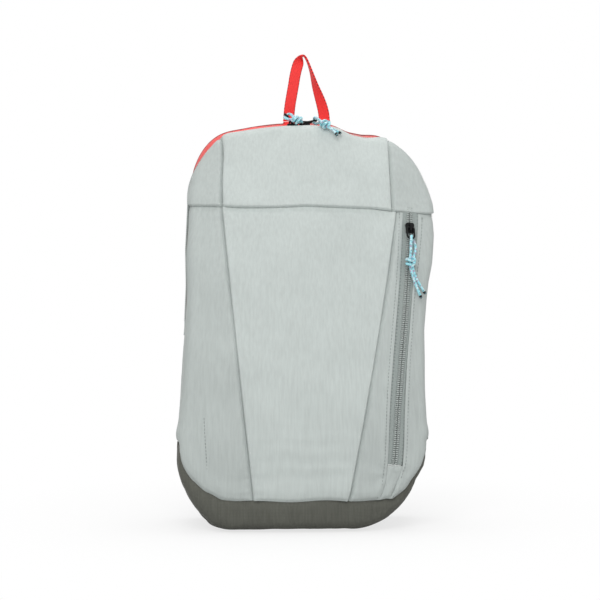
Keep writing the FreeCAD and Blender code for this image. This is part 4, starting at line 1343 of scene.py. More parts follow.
def build_base():
    """The dark base: the lens of cloth low on the front, and the band under and up the sides."""
    across, up = spread(170, 0.3), spread(34)
    left, right = base_flank(-1)[::-1], base_flank(1)
    middle = base_seam(left[-1][0] + 0.5, right[0][0] - 0.5, 160)
    seam = np.concatenate([left, middle, right])
    rim = FRONT.at(base_shares(0), WALL)[0]
    seam[0], seam[-1] = rim[0], rim[-1]
    low, high = along(rim, across), along(seam, across)
    flat = low[None] * (1 - up[:, None, None]) + high[None] * up[:, None, None]
    x, z = flat[..., 0], flat[..., 1]
    points = front_point(x, z)
    distance, run = nearest(points, front_point(seam[:, 0], seam[:, 1]))
    lift = 0.4 * waves(points, 50, 41) + 0.2 * waves(points, 22, 42)
    lift = lift * smooth(-2, 8, distance) + seam_lift(distance, run, "under")
    from_rim = np.linspace(0, 1, 34)[:, None] / 0.12
    front = points + front_way(x, z) * (lift * np.minimum(from_rim, 1))[..., None]
    lines = [front_point(low[:, 0], low[:, 1])]
    lines += [along(ring_points(base_shares(level), level), across) for level in (1, 2)]
    band = wall_grid(lines, 40, 51, 0.5, (None, "tuck", None, None))
    band[0] = front[0]
    sewn("base_cloth", [front, band], base_nylon(), ["base_panel"])


# Zips ------------------------------------------------------------------------------------

CHAIN_Y = ZIP_BAND / 2
TAPE_LEVEL = -0.2  # the tapes' faces lie this far under the cloth's
TAPE_THICK = 0.7
ZIP_END_LONG = 14.5


def crown_zip(across, level=0.0, low=205.0, count=420):
    """A line along the crown's zip that far behind the front's edge, and the way it faces."""
    drawn_z = (low + across * SIN - ZIP_BAND * SIN) / COS
    ends = [FRONT.side_share(drawn_z, side) for side in (-1, 1)]
    flat, way = FRONT.at(np.linspace(*ends, count), level)
    facing = np.stack([way[:, 0], way[:, 1] * SIN, way[:, 1] * COS], -1)
    return leaned(flat[:, 0], np.full(count, across), flat[:, 1]), facing


def turned(vector, axis, angle):
    """A vector turned about an axis, at each angle."""
    cos, sin = np.cos(angle)[:, None], np.sin(angle)[:, None]
    return vector * cos + np.cross(axis, vector) * sin


def pocket_zip(across, level=0.0, start=-6.6, end=0.0, count=160):
    """A line down the pocket's zip that far to its right, and the way it faces. Start and end
    are how far past the slider's two stops the line begins and ends."""
    travel = joint("pocket_slider_travel")
    centre, axis = np.array(travel["pos_m"]) / MM, unit(np.array(travel["axis"], float))
    stops = []
    for x, z in (POCKET_TOP, POCKET_FOOT):
        way = leaned(x, bulge(np.float64(x), np.float64(z)), z) - centre
        stops.append(way - axis * (way @ axis))
    radius = np.linalg.norm(stops[0])
    sweep = math.acos(float(unit(stops[0]) @ unit(stops[1])))
    angle = np.linspace(start / radius, sweep + end / radius, count)
    facing = turned(unit(stops[0]), axis, angle)
    line = centre + axis * across + facing * (radius + level)
    line[:, 0] -= zip_bend(angle / sweep)
    return line, facing


def webbing_profile(wide, thick, count=9):
    """The section of a woven tape, with rounded selvedges."""
    half, edge = wide / 2, thick / 2
    top = np.linspace(-half + edge * 0.6, half - edge * 0.6, count)
    face = np.stack([top, np.full(count, edge)], -1)
    ends = np.array([(half, edge * 0.4), (half, -edge * 0.4)])
    return np.concatenate([face, ends, -face, -ends])


def ribbon(line, across, wide, thick, shrink=None):
    """Woven tape along a line, lying the way that across says. Its uv runs across and along it."""
    ahead = unit(np.gradient(line, axis=0))
    across = unit(across - ahead * (across * ahead).sum(-1, keepdims=True))
    profile = webbing_profile(wide, thick)
    points, faces, uv = swept(line, across, -np.cross(across, ahead), profile, shrink)
    uv[:, 0] = np.tile(profile[:, 0], len(line)) * MM
    return points, faces, uv


def tape_weave(name, colour, rib, half, edge=0.8, rough=0.7, relief=0.6):
    """A woven tape, half its width from the middle: ribs across it every rib millimetres, and
    dashes of a darker thread along both its edges."""
    material, tree = finish_of(name)
    if tree is None:
        return material
    place = add(tree, "ShaderNodeTexCoord").outputs["UV"]
    axes = add(tree, "ShaderNodeSeparateXYZ", {0: place}).outputs
    ribs, lines, dash = (
        add(
            tree, "ShaderNodeTexWave", {"Vector": place, "Scale": WAVE / (spacing * MM)},
            bands_direction=direction,
        ).outputs["Fac"]
        for direction, spacing in (("Y", rib), ("X", 1.5 * rib), ("Y", 3.4))
    )
    speckle = add(tree, "ShaderNodeTexNoise", {"Vector": place, "Scale": 700.0, "Detail": 3.0})
    height = add(tree, "ShaderNodeMath", {0: ribs, 1: lines}, operation="MULTIPLY")
    tone = add(
        tree, "ShaderNodeMapRange",
        {"Value": speckle.outputs["Fac"], "From Min": 0.3, "From Max": 0.7},
    )
    body = add(
        tree, "ShaderNodeMix",
        {0: tone.outputs[0], 6: shaded(colour), 7: shaded(colour, 0.84)},
        data_type="RGBA",
    )
    beside = add(tree, "ShaderNodeMath", {0: axes["X"]}, operation="ABSOLUTE")
    selvedge = add(
        tree, "ShaderNodeMapRange",
        {
            "Value": beside.outputs[0],
            "From Min": (half - 1.1) * MM, "From Max": (half - 0.7) * MM,
        },
    )
    dashes = add(
        tree, "ShaderNodeMapRange", {"Value": dash, "From Min": 0.55, "From Max": 0.75}
    )
    share = add(
        tree, "ShaderNodeMath", {0: selvedge.outputs[0], 1: dashes.outputs[0]},
        operation="MULTIPLY",
    )
    tint = add(
        tree, "ShaderNodeMix",
        {0: share.outputs[0], 6: body.outputs[2], 7: shaded(colour, edge)},
        data_type="RGBA",
    )
    bump = add(
        tree, "ShaderNodeBump",
        {"Height": height.outputs[0], "Strength": relief, "Distance": 0.0003},
    )
    weave = add(
        tree, "ShaderNodeBsdfPrincipled",
        {
            "Base Color": tint.outputs[2], "Normal": bump.outputs[0], "Roughness": rough,
            "Sheen Weight": 0.1,
        },
    )
    add(tree, "ShaderNodeOutputMaterial", {"Surface": weave.outputs[0]})
    return material


def zip_tape():
    """Knitted zip tape: matt, with fine ribs across it. It is a little darker than the cloth in
    its own tone, and darker still as painted shade of the tape lying sunk between the hems.
    """
    return tape_weave("knitted_zip_tape", colours().zip_tape, 1.2, 3.0, 0.7, 0.8, 0.7)


def sewn_end():
    """The folded cloth over a zip's end: the body's grey, ribbed by its stitches."""
    return tape_weave("sewn_zip_end", colours().body, 1.0, 1.6, rough=0.8)


def build_zips(pitch):
    """The tapes, coils and sewn ends of the crown's zip and the pocket's."""
    over_crown = (0, COS, -SIN)
    under = TAPE_LEVEL - TAPE_THICK / 2
    for name, offset in (("front", -3.45), ("rear", 3.45)):
        line, _ = crown_zip(CHAIN_Y + offset, under, ZIP_FOOT - 2)
        tape = ribbon(line, same(over_crown, len(line)), 5.5, TAPE_THICK)
        solid(
            "crown_tape_" + name, [tape], zip_tape(), "pack",
            ["main_tape_" + name], True,
        )
    for name, offset in (("inner", -4.45), ("outer", 4.45)):
        line, facing = pocket_zip(offset, under)
        tape = ribbon(line, np.cross(facing, np.gradient(line, axis=0)), 8.4, TAPE_THICK)
        solid(
            "pocket_tape_cloth_" + name, [tape], zip_tape(), "pack",
            ["pocket_tape_" + name], True,
        )

    turn = turn_part(2.2, 1.6, 0.9, 0.5)
    for name, node, side, (line, facing), seed in (
        ("crown_coil_front", "main_coil_front", -1, crown_zip(CHAIN_Y - 0.5, TAPE_LEVEL), 3),
        ("crown_coil_rear", "main_coil_rear", 1, crown_zip(CHAIN_Y + 0.5, TAPE_LEVEL), 3),
        (
            "pocket_coil_turns_inner", "pocket_coil_inner", -1,
            pocket_zip(-0.45, TAPE_LEVEL, end=-1), 4,
        ),
        (
            "pocket_coil_turns_outer", "pocket_coil_outer", 1,
            pocket_zip(0.45, TAPE_LEVEL, end=-1), 4,
        ),
    ):
        lines = [(line[::side], facing[::side])]
        repeated(name, lines, turn, pitch, nylon_coil(), [node], seed=seed)

    line, facing = pocket_zip(0, 0.55)
    down = unit(line[-1] - line[-5])
    bar = line[-1] + unit(np.cross(facing[-1], down)) * np.linspace(-6.6, 6.6, 12)[:, None]
    tab = ribbon(bar, same(down, 12), 3.4, 1.1)
    solid(
        "pocket_zip_end", [tab], sewn_end(), "pack", ["pocket_zip_tab"], True
    )
    for side, name in ((-1, "left"), (1, "right")):
        line, _ = crown_zip(CHAIN_Y, 0.5, ZIP_FOOT - 9, 900)
        line = line[::-side]
        line = line[lengths(line) < ZIP_END_LONG]
        tab = ribbon(line, same(over_crown, len(line)), 11.4, 1.0)
        solid(
            "crown_zip_end_" + name, [tab], sewn_end(), "pack",
            ["main_zip_tab_" + name], True,
        )


def finish_node(name, material):
    """Gives a CAD piece its real finish."""
    for slot in frame["nodes"][name].material_slots:
        slot.material = material


def build_metal():
    """The sliders, rings and ladder locks keep their CAD shapes and get their real finishes."""
    for name in ("main_left", "main_right", "pocket"):
        finish_node(name + "_slider", black_enamel())
        finish_node(name + "_ring", moulded_rubber())
    for name in ("left", "right"):
        finish_node("ladder_lock_" + name, acetal())


def sheet_inside(form, inset, across, up, head=None):
    """A grid over a form's outline drawn in by inset, up to its crown or to a level head."""
    ends = (2.4, 4.6) if head is None else [form.side_share(head, side) for side in (-1, 1)]
    shares = ((0.5, 0), (7.9999, 7), (6.9999, 6.5))
    bottom = form.at(np.concatenate([np.linspace(*pair, 40) for pair in shares]), -inset)[0]
    left = form.at(np.linspace(0.5, ends[0], 90), -inset)[0]
    right = form.at(np.linspace(6.5, ends[1], 90), -inset)[0]
    top = straight(left[-1], right[-1]) if head else form.at(np.linspace(*ends, 120), -inset)[0]
    return coons(bottom, top, left, right, across, up)


def build_interior():
    """The pocket's lining, and the back's lining and foam, which stay inside the pack."""
    flat = sheet_inside(FRONT, 6.5, 40, 60, YOKE_SEAM)
    points = leaned(flat[..., 0], -3.6, flat[..., 1])
    sewn("pocket_lining_cloth", [points], lining_nylon(), ["pocket_lining"])
    flat = sheet_inside(BACK, 5.4, 40, 60)
    for node, name, slot, finish in (
        ("back_foam", "back_foam_sheet", "foam", closed_cell_foam()),
        ("back_lining", "back_lining_cloth", "lining", lining_nylon()),
    ):
        low, high = (corner.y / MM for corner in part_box(node))
        points = np.stack([flat[..., 0], np.full(flat.shape[:2], high), flat[..., 1]], -1)
        sewn(name, [points], finish, [node], high - low, (0, high - 60, 200))


# Stitching -------------------------------------------------------------------------------


def on_front(line, lift):
    """A line of the flat drawing on the front's cloth, and the way it faces."""
    x, z = line[:, 0], line[:, 1]
    points, way = front_point(x, z), front_way(x, z)
    return points + way * (fullness(points) + lift)[:, None], way


def build_stitches(length, gap):
    """Topstitching beside the seams of the front, and the bar tack at the foot of the zip."""
    seam = front_edges()["yoke_seam"]
    inner, outer = pocket_seam(-1, seam), pocket_seam(1, seam)
    dart = straight((-101, 112), (-96.5, 46), 30)
    dart = settled(dart, row_x=dart[:, 0], row_z=dart[:, 1])
    hems = [
        on_front(inner[1:-1] - (3.4, 0), 0.9), on_front(outer[1:-1] + (3.2, 0), 0.9),
        on_front(dart, 0.15),
    ]
    laps = [on_front(centre_edge(side)[3:-2] - (side * 2.6, 0), 0.8) for side in (-1, 1)]
    laps.append(on_front(yoke_seam(-112, 112, 220) + (0, 2.6), 0.7))
    # The hems' stitches take a thread darker than the real tone-on-tone one: painted shade of the
    # sunk stitch holes
    thread_painted_shade = thread("spun_polyester_thread_grey", "#8A918F")
    for name, lines, finish, seed in (
        ("hem_stitch", hems, thread_painted_shade, 6), ("front_topstitch", laps, thread(), 7),
    ):
        repeated(
            name, lines, stitch_part(length), length + gap, finish,
            uneven=0.06, seed=seed,
        )
    line, facing = pocket_zip(0, 1.2)
    down = unit(line[-1] - line[-5])
    across = unit(np.cross(facing[-1], down)) * np.linspace(-6, 6, 12)[:, None]
    rows = [(line[-1] + down * k * 0.55 + across, same(facing[-1], 12)) for k in range(-2, 3)]
    repeated(
        "pocket_bar_tack", rows, stitch_part(1.5, 0.5), 1.7, thread(),
        uneven=0.1, seed=8,
    )


# Haul loop -------------------------------------------------------------------------------


def clamped_spline(points, first, last, count):
    """A smooth line through points, which leaves along first and arrives along last, and the
    share of its way at each of its places."""
    step = np.linalg.norm(np.diff(points, axis=0), axis=1)
    size = len(points)
    rows, right = np.zeros((size, size)), np.zeros((size, 3))
    rows[0, 0] = rows[-1, -1] = 1
    right[0], right[-1] = first, last
    move = np.diff(points, axis=0)
    for i in range(1, size - 1):
        a, b = 1 / step[i - 1], 1 / step[i]
        rows[i, i - 1 : i + 2] = a, 2 * (a + b), b
        right[i] = 3 * (move[i - 1] * a * a + move[i] * b * b)
    slope = np.linalg.solve(rows, right)
    knots = np.concatenate([[0], np.cumsum(step)])
    place = np.linspace(0, knots[-1], count)
    k = np.clip(np.searchsorted(knots, place, side="right") - 1, 0, size - 2)
    t, h = ((place - knots[k]) / step[k])[:, None], step[k][:, None]
    start = (2 * t**3 - 3 * t**2 + 1) * points[k] + (t**3 - 2 * t**2 + t) * h * slope[k]
    end = (3 * t**2 - 2 * t**3) * points[k + 1] + (t**3 - t**2) * h * slope[k + 1]
    return start + end, place / knots[-1]


def coral_webbing():
    """Woven polyester webbing of the haul loop: bright coral, with a dark thread in each edge."""
    return tape_weave("woven_webbing_coral", colours().haul_loop, 1.3, 5.6, 0.3, 0.7, 0.5)


# The loop's height, and how far its legs and its peak stand right of the fold's middle
LOOP_RISE, LOOP_LEFT, LOOP_RIGHT, LOOP_PEAK = 66.8, -11.5, 25.0, 3.2


def build_haul_loop():
    """The coral webbing loop: flat where it is sewn in, twisting edge-on to fold at its peak."""
    red = coral_webbing()
    foot = np.array(joint("haul_loop_fold")["pos_m"]) / MM
    left, right, peak = LOOP_LEFT, LOOP_RIGHT, LOOP_PEAK
    marks = [
        (left, 0), (left + 0.33 * (peak - left), 0.55), (left + 0.62 * (peak - left), 0.85),
        (peak, 1), (right + 0.72 * (peak - right), 0.85), (right + 0.42 * (peak - right), 0.53),
        (right, 0),
    ]
    points = np.array([foot + (x, 0, share * LOOP_RISE) for x, share in marks])
    up = np.array([0, 0, 1.0])
    line, share = clamped_spline(points, up, -up, 140)
    twist = np.pi / 2 * (smooth(0.40, 0.50, share) - smooth(0.52, 1.08, share))[:, None]
    back = same((0, 1, 0), len(line))
    aside = np.cross(back, unit(np.gradient(line, axis=0)))
    parts = [ribbon(line, aside * np.cos(twist) + back * np.sin(twist), 11.2, 1.5)]
    ends = []
    for x in (left, right):
        hem = foot + (x, 0, 0) + np.linspace(-5.9, 5.9, 14)[:, None] * (1, 0, 0)
        parts.append(swept(hem, same((0, 1, 0), 14), same(up, 14), circle(0.8, 10)))
        rise = np.linspace(BACK_HEIGHT - 12, BACK_HEIGHT + 1.1, 14)
        line = np.array([(x, foot[1], z) for z in rise])
        taper = [1.0] * 11 + [0.99, 0.96, 0.9]
        ends.append(ribbon(line, same((1, 0, 0), 14), 12.0, 3.8, taper))
    solid("haul_loop_webbing", parts, red, "haul_loop", ["haul_loop"])
    solid("haul_loop_sewn_ends", ends, red, "pack", ["haul_loop_ends"])


# Back panel ------------------------------------------------------------------------------


def spacer_mesh():
    """Knitted spacer mesh of the back: dark round holes about 3 mm apart in a grey knit."""
    material, tree = finish_of("knitted_spacer_mesh")
    if tree is None:
        return material
    place = add(tree, "ShaderNodeTexCoord").outputs["Object"]
    flat = add(tree, "ShaderNodeMapping", {"Vector": place, "Scale": (1, 0, 1)})
    cells = add(
        tree, "ShaderNodeTexVoronoi",
        {"Vector": flat.outputs[0], "Scale": 1 / (3.0 * MM), "Randomness": 0.25},
    )
    knit = add(
        tree, "ShaderNodeMapRange",
        {"Value": cells.outputs["Distance"], "From Min": 0.24, "From Max": 0.40},
    )
    tint = add(
        tree, "ShaderNodeMix",
        {0: knit.outputs[0], 6: shaded(linear("#3F4442")), 7: shaded(linear("#8E9491"))},
        data_type="RGBA",
    )
    bump = add(
        tree, "ShaderNodeBump",
        {"Height": knit.outputs[0], "Strength": 0.7, "Distance": 0.0006},
    )
    mesh = add(
        tree, "ShaderNodeBsdfPrincipled",
        {
            "Base Color": tint.outputs[2], "Normal": bump.outputs[0], "Roughness": 0.85,
            "Sheen Weight": 0.15,
        },
    )
    add(tree, "ShaderNodeOutputMaterial", {"Surface": mesh.outputs[0]})
    return material


# Above this height the binding takes the gusset's red darkened: painted shade where the red gusset
# turns away at the crown's back edge
CROWN_BINDING_FOOT = 345.0  # the binding is crimson above this height


QUILT_ROWS = (92.0, 176.0, 260.0)


def back_lift(x, z):
    """How far the quilted back stands behind its seam."""
    depth = BACK.depth(x, z)[0]
    pads = smooth(9, 22, np.abs(x))
    for row in QUILT_ROWS:
        pads = pads * (1 - bell(z, row, 6.5))
    return 0.25 + 0.5 * smooth(1, 5, depth) + 1.9 * pads * smooth(5, 20, depth)


def quilt_line(x, z):
    """A line of stitches on the quilted back, and the way it faces."""
    x, z = np.broadcast_arrays(x, z)
    return np.stack([x, BACK_Y + back_lift(x, z) + 0.1, z], -1), same((0, 1, 0), len(x))


def build_back():
    """The quilted back cover of spacer mesh, the binding round it and its quilting stitches."""
    flat = sheet_inside(BACK, 0.8, 100, 150)
    x, z = flat[..., 0], flat[..., 1]
    points = np.stack([x, BACK_Y + back_lift(x, z), np.maximum(z, 0.3)], -1)
    heart = (0, BACK_Y - 60, 200)
    sewn("back_cover_mesh", [points], spacer_mesh(), ["back_cover"], heart=heart)

    shares = np.concatenate([np.linspace(0, 7, 700)[:-1], np.linspace(7, 8, 60)[:-1]])
    flat, way = BACK.at(shares)
    line = np.stack([flat[:, 0], np.full(len(flat), BACK_Y + 1.0), flat[:, 1]], -1)
    out = np.stack([way[:, 0], way[:, 0] * 0, way[:, 1]], -1)
    line[:, 2] = np.maximum(line[:, 2], 1.35)
    section = circle(1.0, 12) * (1.0, 1.4) - (0.8, 0)
    crown = np.flatnonzero(line[:, 2] > CROWN_BINDING_FOOT)
    rest = np.roll(np.arange(len(line)), -crown[-1])[: len(line) - len(crown) + 2]
    for name, pick, finish, nodes in (
        ("back_binding_tape", rest, binding_tape(), ["back_binding"]),
        ("crown_binding_tape", crown, crown_binding_painted_shade(), ()),
    ):
        binding = swept(line[pick], out[pick], same((0, 1, 0), len(pick)), section)
        solid(name, [binding], finish, "pack", nodes, True)

    lines = [quilt_line(x, np.linspace(26, 372, 150)) for x in (-11.0, 11.0)]
    for z in QUILT_ROWS:
        lines += [quilt_line(np.linspace(15, 98, 60) * side, z) for side in (-1, 1)]
    repeated(
        "back_quilting", lines, stitch_part(2.6), 3.8, thread(), uneven=0.05, seed=9
    )


def binding_tape():
    """Grosgrain seam binding: fine ribs across a matt charcoal tape."""
    return tape_weave("grosgrain_binding", shaded(colours().body, 0.16), 1.5, 9.0, rough=0.75)


def crown_binding_painted_shade():
    """Grosgrain binding behind the crown: the same ribs in a deep crimson, the gusset's red
    darkened, which is painted shade of the red gusset turning away at the crown's back edge.
    """
    crimson = shaded(colours().gusset, 0.42)
    return tape_weave("grosgrain_binding_crimson", crimson, 1.5, 9.0, rough=0.75)


# Shoulder straps -------------------------------------------------------------------------

PAD_TOP = np.array([38.0, BACK_Y + 1.2, BACK_HEIGHT - 32])
PAD_SLANT = np.array([50.0, 0.0, 165.0 - (BACK_HEIGHT - 32)])
PAD_LONG = float(np.linalg.norm(PAD_SLANT))
PAD_OUT = 28.8
PAD_SLOPE = 0.356
ANCHOR_Y = BACK_Y + 2.0 + 1.6 + 0.7
STRAP_WIDE, STRAP_FOOT = 58.0, 46.0
PAD_CORNER = 12.0
HARNESS_WIDE, HARNESS_THICK = 19.0, 1.4


def strap_ways(down):
    """The ways across a strap, outwards from it and up it."""
    up = -unit(down)
    outward = unit(np.array([0, 1.0, 0]) - up * up[1])
    return np.stack([np.cross(outward, up), outward, up])


def mirrored(points, side):
    return points * np.array([side, 1.0, 1.0])


def rounded_line(points, count=14):
    """A line through runs whose corners are rounded as far as they fit."""
    points = [np.asarray(p, float) for p in points]
    line = [points[0]]
    for before, corner, after in zip(points, points[1:], points[2:]):
        reach = 0.45 * min(np.linalg.norm(corner - before), np.linalg.norm(after - corner))
        start, end = corner + unit(before - corner) * reach, corner + unit(after - corner) * reach
        t = np.linspace(0, 1, count)[:, None]
        line += list((1 - t) ** 2 * start + 2 * t * (1 - t) * corner + t**2 * end)
    line.append(points[-1])
    line = np.array(line)
    return line[np.concatenate([[True], np.linalg.norm(np.diff(line, axis=0), axis=1) > 0.05])]


def pad_half_width(down):
    """Half the pad's width, at a distance down it."""
    share = np.clip((down / PAD_LONG - 0.28) / 0.68, 0, 1)
    wide = STRAP_WIDE / 2 + (STRAP_FOOT - STRAP_WIDE) / 2 * (share**1.6)
    end = np.clip(down - (PAD_LONG - PAD_CORNER), 0, PAD_CORNER)
    return wide - PAD_CORNER + np.sqrt(np.maximum(PAD_CORNER**2 - end**2, 0))


def pad_side_view():
    """The pad's middle seen from the side, from the back panel to its foot."""
    run = 63.0
    points = [(0, 0), (44, 0), (57, -66)]
    points += [(PAD_OUT + run * PAD_SLOPE, run - PAD_LONG), (PAD_OUT, -PAD_LONG)]
    return rounded_line([(0, y, z) for y, z in points], 18)


def padded_strap(name, side):
    """A shoulder strap's pad: foam in a cloth cover, swollen tight by a short simulation."""
    mesh = frame["nodes"]["strap_pad_" + name].data.copy()
    mended(mesh, 0.00001)
    start = linked("strap_start", mesh)
    shape = start.modifiers.new("voxels", "REMESH")
    shape.mode, shape.voxel_size = "VOXEL", 0.0042
    slack = start.modifiers.new("slack", "DISPLACE")
    slack.strength, slack.mid_level = -0.0016, 0.0
    mesh = made(start)
    mesh = swollen(mesh)
    mesh.name = "strap_pad_cover_" + name
    quilted_pad(mesh, side)
    piece = place_object(
        mesh.name, mesh, strap_cloth(), "pack", ["strap_pad_" + name]
    )
    finer = piece.modifiers.new("smooth", "SUBSURF")
    finer.levels = finer.render_levels = 1


def swollen(mesh):
    """The mesh after a short cloth simulation under pressure, no point moved more than 3 mm."""
    scene = bpy.context.scene
    before = vertices_of(mesh)
    puffed = linked("strap_sim", mesh)
    cloth = puffed.modifiers.new("cloth", "CLOTH")
    for name, value in (
        ("quality", 5), ("mass", 0.3), ("tension_stiffness", 20), ("compression_stiffness", 20),
        ("bending_stiffness", 1.5), ("use_pressure", True), ("uniform_pressure_force", 4),
    ):
        setattr(cloth.settings, name, value)
    cloth.settings.effector_weights.gravity = 0
    cloth.point_cache.frame_start, cloth.point_cache.frame_end = 1, 20
    for step in range(1, 21):
        scene.frame_set(step)
    done = made(puffed)
    scene.frame_set(1)
    move = vertices_of(done) - before
    far = np.linalg.norm(move, axis=1, keepdims=True)
    after = before + move * np.minimum(1, 0.003 / np.maximum(far, 1e-9))
    done.vertices.foreach_set("co", after.astype(np.float32).ravel())
    return done


def quilted_pad(mesh, side):
    """Brings the pad's edges back to their binding, and presses its sewn channels in."""
    ways = strap_ways(PAD_SLANT)
    local = (mirrored(vertices_of(mesh) / MM, side) - PAD_TOP) @ ways.T
    down = -local[:, 2]
    half = pad_half_width(down)
    marks = np.linspace(4, PAD_LONG - 5, 50)
    reach = [np.abs(local[np.abs(down - mark) < 4, 0]).max() for mark in marks]
    local[:, 0] *= np.clip(half / np.interp(down, marks, reach), 0.95, 1.14)
    points = mirrored(PAD_TOP + local @ ways, side)
    press = 1.3 * bell(half - np.abs(local[:, 0]), 7.5, 1.6) * smooth(-8, 20, down)
    middle = 0.8 * bell(local[:, 0], 0, 1.8)
    press += middle * smooth(30, 60, down) * smooth(20, 40, PAD_LONG - down)
    normals = np.array([v.normal for v in mesh.vertices])
    flat = np.abs(normals @ ways[1]) > 0.5
    points = points - normals * (press * flat)[:, None]
    mesh.vertices.foreach_set("co", (points * MM).astype(np.float32).ravel())
    mesh.update()


def strap_cloth():
    """The straps' cover: the same coated grey nylon, over foam."""
    return woven("coated_nylon_strap", shaded(colours().body, 0.82), 1.1, 0.72)


def strap_webbing():
    """Flat polypropylene webbing: ribbed grey weave with a slight sheen."""
    grey = shaded(colours().body, 0.42)
    return tape_weave("polypropylene_webbing", grey, 1.6, 9.5, 0.7, 0.5, 0.7)


def build_straps():
    """Both shoulder straps: pads, their bound edges, webbing, tails and anchor tabs."""
    for side, name in ((1, "right"), (-1, "left")):
        padded_strap(name, side)
        bound_edge(name, side)
        webbing_of(name, side)
        anchor_tab(name, side)


def bound_edge(name, side):
    """The binding sewn round a pad's edge."""
    view = pad_side_view()
    straight_end = PAD_LONG - PAD_CORNER
    corner = straight_end + PAD_CORNER * np.sin(np.linspace(0.05, 1, 16) * np.pi / 2)
    run = np.concatenate([np.linspace(14, straight_end, 60), corner])
    depth = np.interp(-run, view[::-1, 2], view[::-1, 1])
    right = np.stack([pad_half_width(run) + 0.1, depth, -run], -1)
    line = along(np.concatenate([right, (right * (-1, 1, 1))[::-1]]), np.linspace(0, 1, 200))
    points = mirrored(PAD_TOP + line @ strap_ways(PAD_SLANT), side)
    solid("strap_binding_" + name, [tube(points, 1.7, 10)], binding_tape(), "pack")


def webbing_of(name, side):
    """The webbing from a pad's foot through its ladder lock, the tail and the run to the base."""
    lock = np.array(joint("ladder_lock_right_tilt")["pos_m"]) / MM
    pad_end = PAD_TOP + PAD_SLANT + (0, PAD_OUT, 0)
    run = (pad_end[1] - ANCHOR_Y) / PAD_SLOPE / PAD_LONG
    anchor = pad_end + PAD_SLANT * run + (0, ANCHOR_Y - pad_end[1], 0)
    ways = strap_ways(anchor - pad_end)
    # A strip's middle stands this far off a bar's middle: the bar's half, a gap and its own half
    wrap = 1.6 + 0.3 + HARNESS_THICK / 2
    pitch = 9.0  # from the lock's first bar to its second
    split = -2 * pitch - 12
    behind = -wrap + HARNESS_THICK + 0.3

    def strip(line, across):
        return ribbon(mirrored(line, side), mirrored(across, side), HARNESS_WIDE, HARNESS_THICK)

    def wrapped(route):
        line = lock + rounded_line([(0, y, z) for y, z in route]) @ ways
        return strip(line, same(ways[0], len(line)))

    upper = wrapped([(-wrap, 11), (-wrap, -wrap), (wrap, -wrap), (wrap, 11)])
    tail = wrapped(
        [
            (-wrap, split), (-wrap, wrap - pitch), (wrap, wrap - pitch), (wrap, -pitch - 2.0),
            (behind, -pitch - 7.2), (behind, split + 4), (behind + 11, split - 38),
        ]
    )
    start = lock + np.array([0, -wrap, split - 0.3]) @ ways
    flat = unit((anchor - start) * (1, 0, 1))
    on_tab = straight(anchor, anchor + flat * 26, 8)
    line = np.concatenate([straight(start, anchor, 24)[:-1], on_tab])
    share = np.clip(np.linspace(0, 1.4, len(line)), 0, 1)[:, None]
    lower = strip(line, unit(ways[0] * (1 - share) - np.cross((0, 1.0, 0), flat) * share))
    for piece, part, body, node in (
        ("strap_loop_webbing_", upper, "pack", "strap_webbing_"),
        ("strap_tail_webbing_", tail, "ladder_lock_" + name, "strap_tail_"),
        ("strap_anchor_webbing_", lower, "pack", "strap_lower_webbing_"),
    ):
        solid(piece + name, [part], strap_webbing(), body, [node + name])


# The right anchor tab's corners, from its foot round to its head
TAB_CORNERS = ((103, 36), (115.5, 40), (122, 62), (122, 84), (112, 101), (91, 97))


def anchor_tab(name, side):
    """The cloth tab that holds the lower webbing at the side seam."""
    a, b, c, d, e, f = TAB_CORNERS
    right = np.concatenate([straight(b, c, 20), straight(c, d, 20)])
    top = np.concatenate([straight(f, e, 20), straight(e, d, 20)])
    flat = coons(straight(a, b), top, straight(a, f), right, 24, 36)
    y = np.full(flat.shape[:2], BACK_Y + 3.5)
    sewn(
        "anchor_tab_cloth_" + name, [np.stack([flat[..., 0] * side, y, flat[..., 1]], -1)],
        grey_nylon(), ["strap_anchor_tab_" + name],
        1.5, (side * 100, BACK_Y - 60, 70),
    )


# The add-on: sizes and colours, one operator for each group of pieces, and their panel ----


class DaypackStage(bpy.types.PropertyGroup):
    """Where the camera stands."""

    turn: FloatProperty(
        name="Turn", description="How far left of the pack's front the camera stands",
        default=math.radians(4), subtype="ANGLE", unit="ROTATION",
    )
    reach: FloatProperty(
        name="Distance", description="From the camera to the pack's front",
        default=2.2, unit="LENGTH",
    )
    height: FloatProperty(
        name="Height", description="Of the camera over the floor", default=0.33, unit="LENGTH"
    )
    width: FloatProperty(
        name="View width", description="Width of the view at the pack's front",
        default=0.592, unit="LENGTH",
    )


class DaypackSizes(bpy.types.PropertyGroup):
    """Sizes of the small repeated pieces."""

    coil_pitch: FloatProperty(
        name="Coil pitch", description="From one turn of a zip's coil to the next",
        default=0.0019, unit="LENGTH",
    )
    stitch: FloatProperty(
        name="Stitch", description="Length of one stitch of the topstitching",
        default=0.0023, unit="LENGTH",
    )
    stitch_gap: FloatProperty(
        name="Stitch gap", description="From one stitch to the next",
        default=0.0011, unit="LENGTH",
    )


